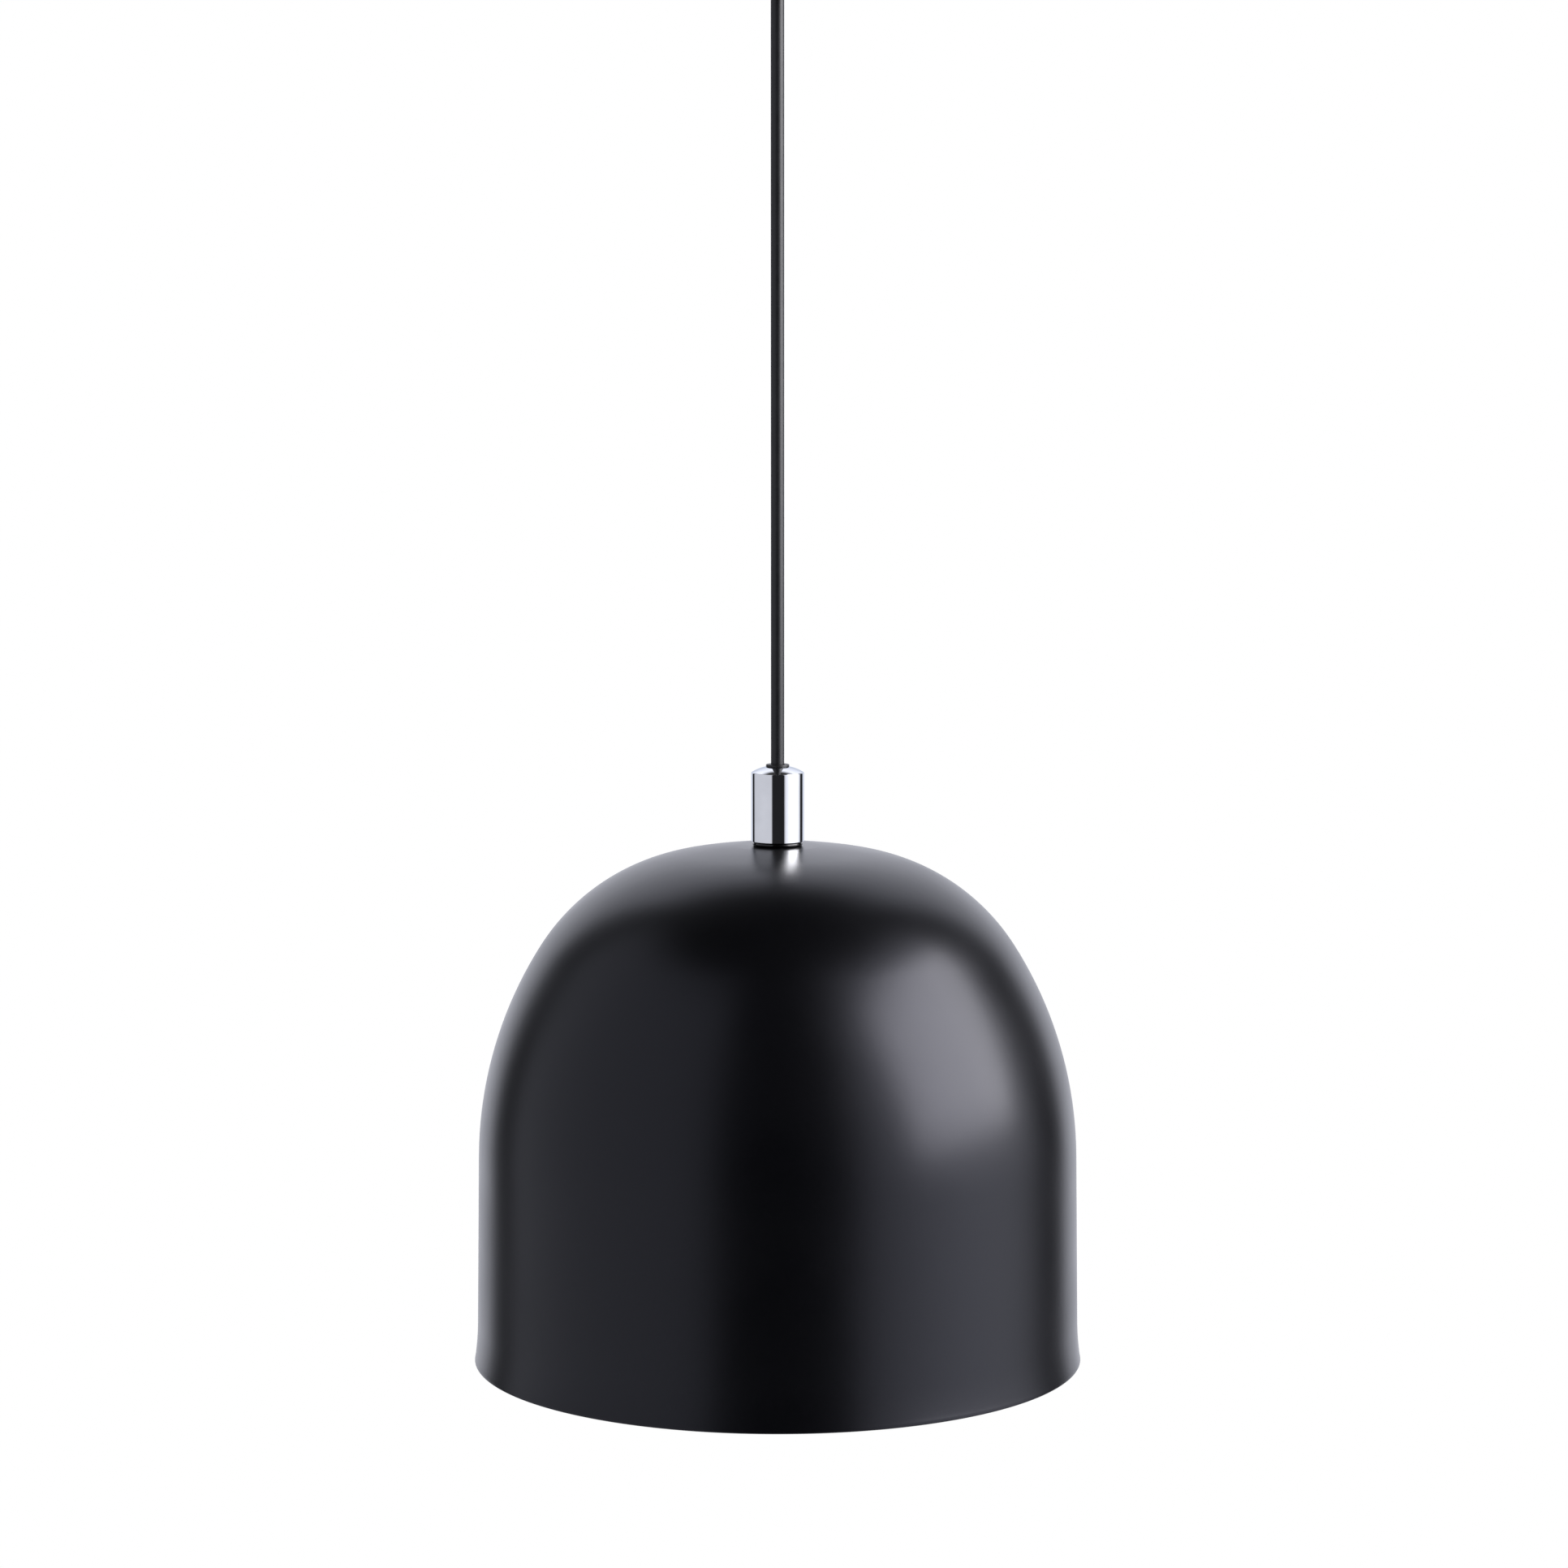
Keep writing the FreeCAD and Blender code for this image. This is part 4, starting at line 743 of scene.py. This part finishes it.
def makeCanopy(paint):
    s = cupSizes
    low, high = spot("canopy_cup")
    r = (high.y - low.y) / 2
    wall = s["wall"]
    outline = outlineWith([
        (s["hole"], low.z), (r, low.z, s["corner"]), (r, high.z, s["edge"]),
        (r - wall, high.z, s["edge"]), (r - wall, low.z + wall, s["corner"] - wall),
        (s["hole"], low.z + wall)])
    cup = spinOutline("ceiling_cup", outline, 160)
    smooth(cup, 40)
    return finish(cup, paint, "ceiling_fitting", "black_paint", "canopy_cup")


gripSizes = {
    "body": 0.0085,
    "nose": 0.00797,
    "mouth": 0.00677,
    "noseHeight": 0.006,
    "bodyHeight": 0.014,
    "thread": 0.005,
    "bore": 0.00245,
    "mouthBore": 0.00305,
    "boreHeight": 0.009,
    "edge": 0.0004,
    "mouthEdge": 0.0003,
    "flutes": 12,
    "fluteDepth": 0.0003,
    "fluteLow": 0.0065,
}


def makeCanopyGrip(nylon):
    s = gripSizes
    low, high = spot("canopy_cord_grip")
    step, nose, seat = (low.z + s[size] for size in ("bodyHeight", "noseHeight", "boreHeight"))
    outline = outlineWith([
        (s["mouth"], low.z, s["mouthEdge"]), (s["nose"], low.z, s["edge"]), (s["body"], nose),
        (s["body"], step, s["edge"]), (s["thread"], step), (s["thread"], high.z, s["edge"]),
        (s["bore"], high.z), (s["bore"], seat), (s["mouthBore"], seat), (s["mouthBore"], nose)])
    grip = spinOutline("cable_grip", outline, 96)
    for vertex in grip.data.vertices:  # shallow finger flutes round the body
        x, y, z = vertex.co
        r = math.hypot(x, y)
        if r > s["body"] - s["fluteDepth"] and low.z + s["fluteLow"] < z < step:
            dip = s["fluteDepth"] * max(0.0, math.cos(s["flutes"] * math.atan2(y, x))) ** 2
            vertex.co.x -= dip * x / r
            vertex.co.y -= dip * y / r
    smooth(grip, 40)
    return finish(grip, nylon, "ceiling_fitting", "black_nylon", "canopy_cord_grip")


sideScrewSizes = {"head": 0.0028, "headHeight": 0.0018, "crown": 0.0011, "shank": 0.0015,
                  "tipEdge": 0.0004, "slot": (0.007, 0.0007, 0.0014)}


def makeSideScrews(steel):
    # one pan-head screw, copied to the other side
    s = sideScrewSizes
    low, high = spot("canopy_side_screw_right")
    head, top, shank = s["head"], s["headHeight"], s["shank"]
    tip = top - (high.x - low.x)
    crown = roundCorner((0, top), (head, top), (head, 0), s["crown"])
    outline = [(0, top)] + crown + [
        (head, 0), (shank, 0), (shank, tip + s["tipEdge"]), (shank - s["tipEdge"], tip), (0, tip)]
    screw = spinOutline("side_screw_right", outline, 48)
    startPiece()
    bpy.ops.mesh.primitive_cube_add(size=1, location=(0, 0, top), scale=s["slot"])
    slotCutter = bpy.context.object
    applyModifier(screw, "BOOLEAN", operation="DIFFERENCE", object=slotCutter, solver="EXACT")
    bpy.data.objects.remove(slotCutter)
    smooth(screw, 35)
    middle = (low.z + high.z) / 2
    other = screw.copy()
    other.data = screw.data.copy()
    other.name = other.data.name = "side_screw_left"
    bpy.context.scene.collection.objects.link(other)
    for item, side, node in ((screw, 1, "canopy_side_screw_right"),
                             (other, -1, "canopy_side_screw_left")):
        item.location = (side * (high.x - top), 0, middle)
        item.rotation_euler = (0, side * math.pi / 2, 0)
        bakePlace(item)
        finish(item, steel, "ceiling_fitting", "zinc_steel", node)


nutSizes = {
    "bore": 0.005,
    "bevel": 0.00012,
    # the double cone that takes the corners off, measured from the nut's flats and faces
    "endOut": -0.0007,
    "sideOut": 0.0016,
    "slope": 0.0011,
    "past": 0.001,
}


def makeNut(name, node, material, body, slot):
    s = nutSizes
    low, high = spot(node)
    startPiece()
    bottom, top = low.z - s["past"], high.z + s["past"]
    bpy.ops.mesh.primitive_cylinder_add(
        vertices=6, radius=(high.x - low.x) / 2, depth=high.z - low.z,
        location=(0, 0, (low.z + high.z) / 2), rotation=(0, 0, math.radians(30)))
    nut = bpy.context.object
    nut.name = nut.data.name = name
    bakePlace(nut)
    flat = (high.y - low.y) / 2
    end, side = flat + s["endOut"], flat + s["sideOut"]
    cone = spinOutline("nut_cone", [
        (0, bottom), (end, bottom), (side, low.z + s["slope"]), (side, high.z - s["slope"]),
        (end, top), (0, top)], 64)
    bore = spinOutline("nut_bore", [
        (0, bottom), (s["bore"], bottom), (s["bore"], top), (0, top)], 64)
    applyModifier(nut, "BOOLEAN", operation="INTERSECT", object=cone, solver="EXACT")
    applyModifier(nut, "BOOLEAN", operation="DIFFERENCE", object=bore, solver="EXACT")
    for helper in (cone, bore):
        bpy.data.objects.remove(helper)
    applyModifier(nut, "BEVEL", width=s["bevel"], segments=2, limit_method="ANGLE",
                  angle_limit=math.radians(30))
    smooth(nut, 30)
    return finish(nut, material, body, slot, node)


# ---- lampholder

holderCapSizes = {
    "wall": 0.0018,
    "edge": 0.0004,
    "neck": 0.0085,
    "neckHeight": 0.003,
    "neckEdge": 0.0005,
    "neckFlare": 0.001,
    "shoulder": 0.0088,
    "shoulderDrop": 0.0006,
    "bore": 0.005,
    "boreDepth": 0.0065,
    "chamber": 0.012,
}


def makeHolderCap(plastic):
    s = holderCapSizes
    low, high = spot("holder_cap")
    r = (high.y - low.y) / 2
    shoulder, drop = high.z - s["neckHeight"], s["shoulderDrop"]
    roof = high.z - s["boreDepth"]
    outline = outlineWith([
        (r - s["wall"], low.z), (r, low.z, s["edge"]), (r, shoulder - drop, s["shoulder"]),
        (s["neck"] + s["neckFlare"], shoulder, drop), (s["neck"], high.z, s["neckEdge"]),
        (s["bore"], high.z), (s["bore"], roof), (s["neck"], roof),
        (r - s["wall"], low.z + s["chamber"])])
    cap = spinOutline("lampholder_cap", outline, 120)
    smooth(cap, 40)
    return finish(cap, plastic, "lamp", "holder_black", "holder_cap")


skirtSizes = {
    "wall": 0.0046,
    "lead": 0.005,  # the lower edge draws in over this height
    "leadIn": 0.001,
    "collar": 0.006,
    "collarOut": 0.0018,
    "collarIn": 0.0036,
    "ledge": 0.0005,
    "innerEdge": 0.0004,
    "outerEdge": 0.0008,
    "edge": 0.0002,
    "ribs": 40,
    "ribDepth": 0.00035,
    "ribLow": 0.008,
    "ribHigh": 0.026,
    "ribRunOut": 0.0006,
}


def makeHolderSkirt(plastic):
    s = skirtSizes
    low, high = spot("holder_skirt")
    r = (high.y - low.y) / 2
    top = high.z - s["collar"]
    ledge = top - s["ledge"]
    ribLow, ribHigh, runOut = low.z + s["ribLow"], low.z + s["ribHigh"], s["ribRunOut"]
    inner, collarOut, collarIn = r - s["wall"], r - s["collarOut"], r - s["collarIn"]
    outline = outlineWith([
        (inner, low.z, s["innerEdge"]), (r - s["leadIn"], low.z, s["outerEdge"]),
        (r, low.z + s["lead"]), (r, ribLow - runOut), (r, ribLow), (r, ribHigh),
        (r, ribHigh + runOut), (r, top, s["edge"]), (collarOut, top),
        (collarOut, high.z, s["edge"]), (collarIn, high.z), (collarIn, ledge), (inner, ledge)])
    skirt = spinOutline("lampholder_skirt", outline, s["ribs"] * 8)
    for vertex in skirt.data.vertices:  # grip ribs
        x, y, z = vertex.co
        radius = math.hypot(x, y)
        if radius > r - 0.0003 and ribLow - 1e-5 <= z <= ribHigh + 1e-5:  # the outer wall only
            dip = s["ribDepth"] * (0.5 - 0.5 * math.cos(s["ribs"] * math.atan2(y, x)))
            vertex.co.x -= dip * x / radius
            vertex.co.y -= dip * y / radius
    smooth(skirt, 40)
    return finish(skirt, plastic, "lamp", "holder_black", "holder_skirt")


threadSizes = {"pitch": 0.003629, "depth": 0.001, "wall": 0.0004, "fade": 0.0025}


def threadedTube(name, inner, outerAt, low, high, rings, steps):
    # a thin tube whose wall follows a round thread; outerAt gives the radius at an angle and height
    heights = [low + (high - low) * i / rings for i in range(rings + 1)]
    outline = [(outerAt(0, z), z) for z in heights]
    outline += [(r - inner, z) for r, z in outline[::-1]]
    tube = spinOutline(name, outline, steps)
    for vertex in tube.data.vertices:
        x, y, z = vertex.co
        radius = math.hypot(x, y)
        shift = outerAt(math.atan2(y, x), z) - outerAt(0, z)
        vertex.co.x += shift * x / radius
        vertex.co.y += shift * y / radius
    return tube


def roundThread(crest, low, high):
    # radius of a round thread, run out smoothly at both ends
    s = threadSizes

    def radius(angle, z):
        wave = 0.5 + 0.5 * math.cos(fullTurn * (z / s["pitch"] - angle / fullTurn))
        fade = min(1.0, max(0.0, (z - low) / s["fade"]))
        fade *= min(1.0, max(0.0, (high - z) / s["fade"]))
        fade = fade * fade * (3 - 2 * fade)
        return crest - s["depth"] * (1 - wave * fade)

    return radius


bulbBaseSizes = {"crest": 0.0131, "collar": 0.004, "collarOut": 0.0001, "collarRun": 0.0008,
                 "topEdge": 0.0004}


def makeBulbBase():
    s = bulbBaseSizes
    low, high = spot("bulb_screw_base")
    collarTop = low.z + s["collar"]
    root = s["crest"] - threadSizes["depth"]
    thread = roundThread(s["crest"], collarTop, high.z - s["topEdge"])

    def radius(angle, z):
        if z > collarTop:
            return thread(angle, z)
        blend = min(1.0, (collarTop - z) / s["collarRun"])
        return root + (threadSizes["depth"] + s["collarOut"]) * blend

    base = threadedTube("bulb_base_shell", threadSizes["wall"], radius, low.z, high.z, 110, 112)
    smooth(base, 60)
    return finish(base, nickelShell(), "bulb", "nickel_shell", "bulb_screw_base")


socketSizes = {"wall": 0.0004, "lip": 0.0044, "edge": 0.0006, "innerEdge": 0.0002}


def makeSocketShell(brass):
    s = socketSizes
    low, high = spot("screw_shell")
    r = (high.y - low.y) / 2
    roof = high.z - s["wall"]
    outline = outlineWith([
        (r - s["wall"], low.z), (r, low.z), (r, high.z, s["edge"]), (r - s["lip"], high.z),
        (r - s["lip"], roof), (r - s["wall"], roof, s["innerEdge"])])
    shell = spinOutline("socket_shell", outline, 96)
    smooth(shell, 40)
    return finish(shell, brass, "lamp", "brass", "screw_shell")


# ---- bulb

bulbSizes = {"wall": 0.0008, "neckArc": 0.04, "neck": 0.0128}


def makeBulbGlass(glass):
    s = bulbSizes
    low, high = spot("bulb_glass")
    ball = (high.y - low.y) / 2
    centre = (0, low.z + ball)
    reach = s["neck"] + s["neckArc"]
    span = ball + s["neckArc"]
    rise = math.sqrt(span ** 2 - reach ** 2)
    lean = math.atan2(rise, reach)
    neckCentre = (reach, low.z + ball + rise)
    outer = arc(centre, ball, -math.pi / 2, lean, 40)
    outer += arc(neckCentre, s["neckArc"], lean + math.pi, math.pi, 18)[1:] + [(s["neck"], high.z)]
    wall = s["wall"]
    inner = arc(centre, ball - wall, -math.pi / 2, lean, 40)
    inner += arc(neckCentre, s["neckArc"] + wall, lean + math.pi, math.pi, 18)[1:]
    inner += [(s["neck"] - wall, high.z)]
    outline = outer + inner[::-1]
    glassPiece = spinOutline("bulb_envelope", outline, 128, closed=False)
    smooth(glassPiece, 40)
    return finish(glassPiece, glass, "bulb", "clear_glass", "bulb_glass")


insulatorSizes = {"foot": 0.0117, "rim": 0.0121, "rimHeight": 0.001, "rimEdge": 0.0003,
                  "neck": 0.0085, "neckDrop": 0.0008, "neckEdge": 0.001, "top": 0.0048}


def makeInsulator():
    s = insulatorSizes
    low, high = spot("bulb_base_insulator")
    outline = outlineWith([
        (0, low.z), (s["foot"], low.z), (s["rim"], low.z + s["rimHeight"], s["rimEdge"]),
        (s["neck"], high.z - s["neckDrop"], s["neckEdge"]), (s["top"], high.z), (0, high.z)])
    cone = spinOutline("base_insulator", outline, 96)
    smooth(cone, 40)
    return finish(cone, capGlass(), "bulb", "black_insulator", "bulb_base_insulator")


eyeletSizes = {"gap": 0.00003, "edge": 0.0002, "topEdge": 0.0006, "dish": 0.0022,
               "dishDepth": 0.0001}


def makeEyelet(brass):
    s = eyeletSizes
    low, high = spot("bulb_contact_eyelet")
    r = (high.y - low.y) / 2
    foot = low.z + s["gap"]  # a hair clear of the insulator, which turns against it
    dish = high.z - s["dishDepth"]
    outline = outlineWith([
        (0, foot), (r, foot, s["edge"]), (r, dish, s["topEdge"]), (s["dish"], high.z), (0, dish)])
    eyelet = spinOutline("base_contact", outline, 64)
    smooth(eyelet, 40)
    return finish(eyelet, brass, "bulb_carrier", "brass", "bulb_contact_eyelet")


stemSizes = {
    # radius, depth under the top, fillet
    "rod": (0.0015, 0.02, 0.002),
    "pinchLow": (0.003, 0.0175, 0.001),
    "pinchHigh": (0.003, 0.011, 0.003),
    "funnel": (0.0012, 0.008, 0.001),
    "funnelFoot": 0.0082,
    "tip": 0.0005,
    "tipEdge": 0.0007,
    # in from the flare's rim
    "flareIn": 0.0006,
    "flareDepth": 0.001,
    "flareEdge": 0.001,
    "rimIn": 0.0002,
    "wallIn": 0.0012,
}


def makeStem(glass):
    s = stemSizes
    low, high = spot("bulb_stem")
    flare = (high.y - low.y) / 2
    rod, pinchLow, pinchHigh, funnel = (
        (s[part][0], high.z - s[part][1], s[part][2])
        for part in ("rod", "pinchLow", "pinchHigh", "funnel"))
    outline = outlineWith([
        (0, low.z, s["tip"]), (rod[0], low.z, s["tipEdge"]), rod, pinchLow, pinchHigh,
        (flare - s["flareIn"], high.z - s["flareDepth"], s["flareEdge"]),
        (flare - s["rimIn"], high.z), (flare - s["wallIn"], high.z), funnel,
        (0, high.z - s["funnelFoot"])])
    stem = spinOutline("bulb_stem_glass", outline, 64)
    smooth(stem, 40)
    return finish(stem, glass, "bulb", "clear_glass", "bulb_stem")


filamentSizes = {"count": 4, "circle": 0.01, "radius": 0.0009, "edge": 0.0004, "tab": 0.0005,
                 "tabLength": 0.0012}


def makeFilaments(phosphor, wire):
    # coated strips with metal end tabs, made once and copied
    s = filamentSizes
    low, high = spot("bulb_filaments")
    foot, top = low.z + s["tabLength"], high.z - s["tabLength"]
    first = spinOutline("filament_0", outlineWith([
        (0, foot), (s["radius"], foot, s["edge"]), (s["radius"], top, s["edge"]), (0, top)]), 24)
    smooth(first, 50)
    tab = spinOutline("filament_tab_0", [
        (0, low.z), (s["tab"], low.z), (s["tab"], high.z), (0, high.z)], 16)
    smooth(tab, 50)
    pieces = []
    for number in range(s["count"]):
        angle = number * fullTurn / s["count"]
        place = Vector((math.cos(angle), math.sin(angle), 0)) * s["circle"]
        for item in (first, tab):
            copy = item
            if number:
                copy = item.copy()
                copy.data = item.data.copy()
                copy.name = copy.data.name = item.name[:-1] + str(number)
                bpy.context.scene.collection.objects.link(copy)
            pieces.append((copy, place, item is first))
    for item, place, coated in pieces:
        item.location = place
        bakePlace(item)
        if coated:
            finish(item, phosphor, "bulb", "phosphor", "bulb_filaments")
        else:
            finish(item, wire, "bulb", "lead_wire", "bulb_filaments")


# ---- finishes for the CAD nodes that stay

def dressNode(name, material):
    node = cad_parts[name]
    node.data.materials.clear()
    node.data.materials.append(material)


addCamera()
addWorld()
for name, settings in softboxes.items():
    addSoftbox(name, *settings)
addFloor()
makeCable()
print("camera, room and cable made")

makeShade()
makeFerrule()
makeBush()
makeGasket()
print("shade and ferrule made")

paint = powderCoat()
nylon = mouldedNylon()
steel = zincSteel()
brass = turnedBrass()
makeCanopy(paint)
makeCanopyGrip(nylon)
makeSideScrews(steel)
makeNut("grip_nut", "canopy_grip_nut", nylon, "ceiling_fitting", "black_nylon")
makeNut("crown_nut", "nipple_nut", steel, "lamp", "zinc_steel")
print("ceiling end made")

plastic = phenolic()
makeHolderCap(plastic)
makeHolderSkirt(plastic)
makeSocketShell(brass)
print("lampholder made")

glass = clearGlass()
makeBulbBase()
makeBulbGlass(glass)
makeInsulator()
makeEyelet(brass)
makeStem(glass)
makeFilaments(filamentPhosphor(), steel)
print("bulb made")

jacket = bpy.data.materials["black PVC cable jacket"]
keptFinishes = {
    steel: ("ceiling_bracket", "grip_clamp_screw", "terminal_block_screw", "earth_screw",
            "earth_washer", "terminal_screws", "threaded_nipple", "shade_washer", "lock_washer",
            "cord_grip_screw", "earth_terminal_screw", "holder_screw_live", "holder_screw_neutral",
            "bulb_lead_wires"),
    brass: ("terminal_tube_live", "terminal_tube_neutral", "cord_grip", "centre_contact",
            "side_contact"),
    jacket: ("cord_stub", "cord_tail"),
    whitePolyamide(): ("terminal_block",),
    steatite(): ("holder_core",),
    coreSleeve("brown core sleeve", "#4a2a17", "#5c3620"): ("live_core_top", "live_core_low"),
    coreSleeve("blue core sleeve", "#1d4f96", "#2a62ad"): ("neutral_core_top", "neutral_core_low"),
    coreSleeve("green and yellow core sleeve", "#2f7d32", "#2f8a35", "#e2c81e"): (
        "earth_core_top", "earth_core_low"),
}
for material, names in keptFinishes.items():
    for name in names:
        dressNode(name, material)
print("CAD nodes finished")

bpy.context.scene.view_settings.view_transform = "Standard"
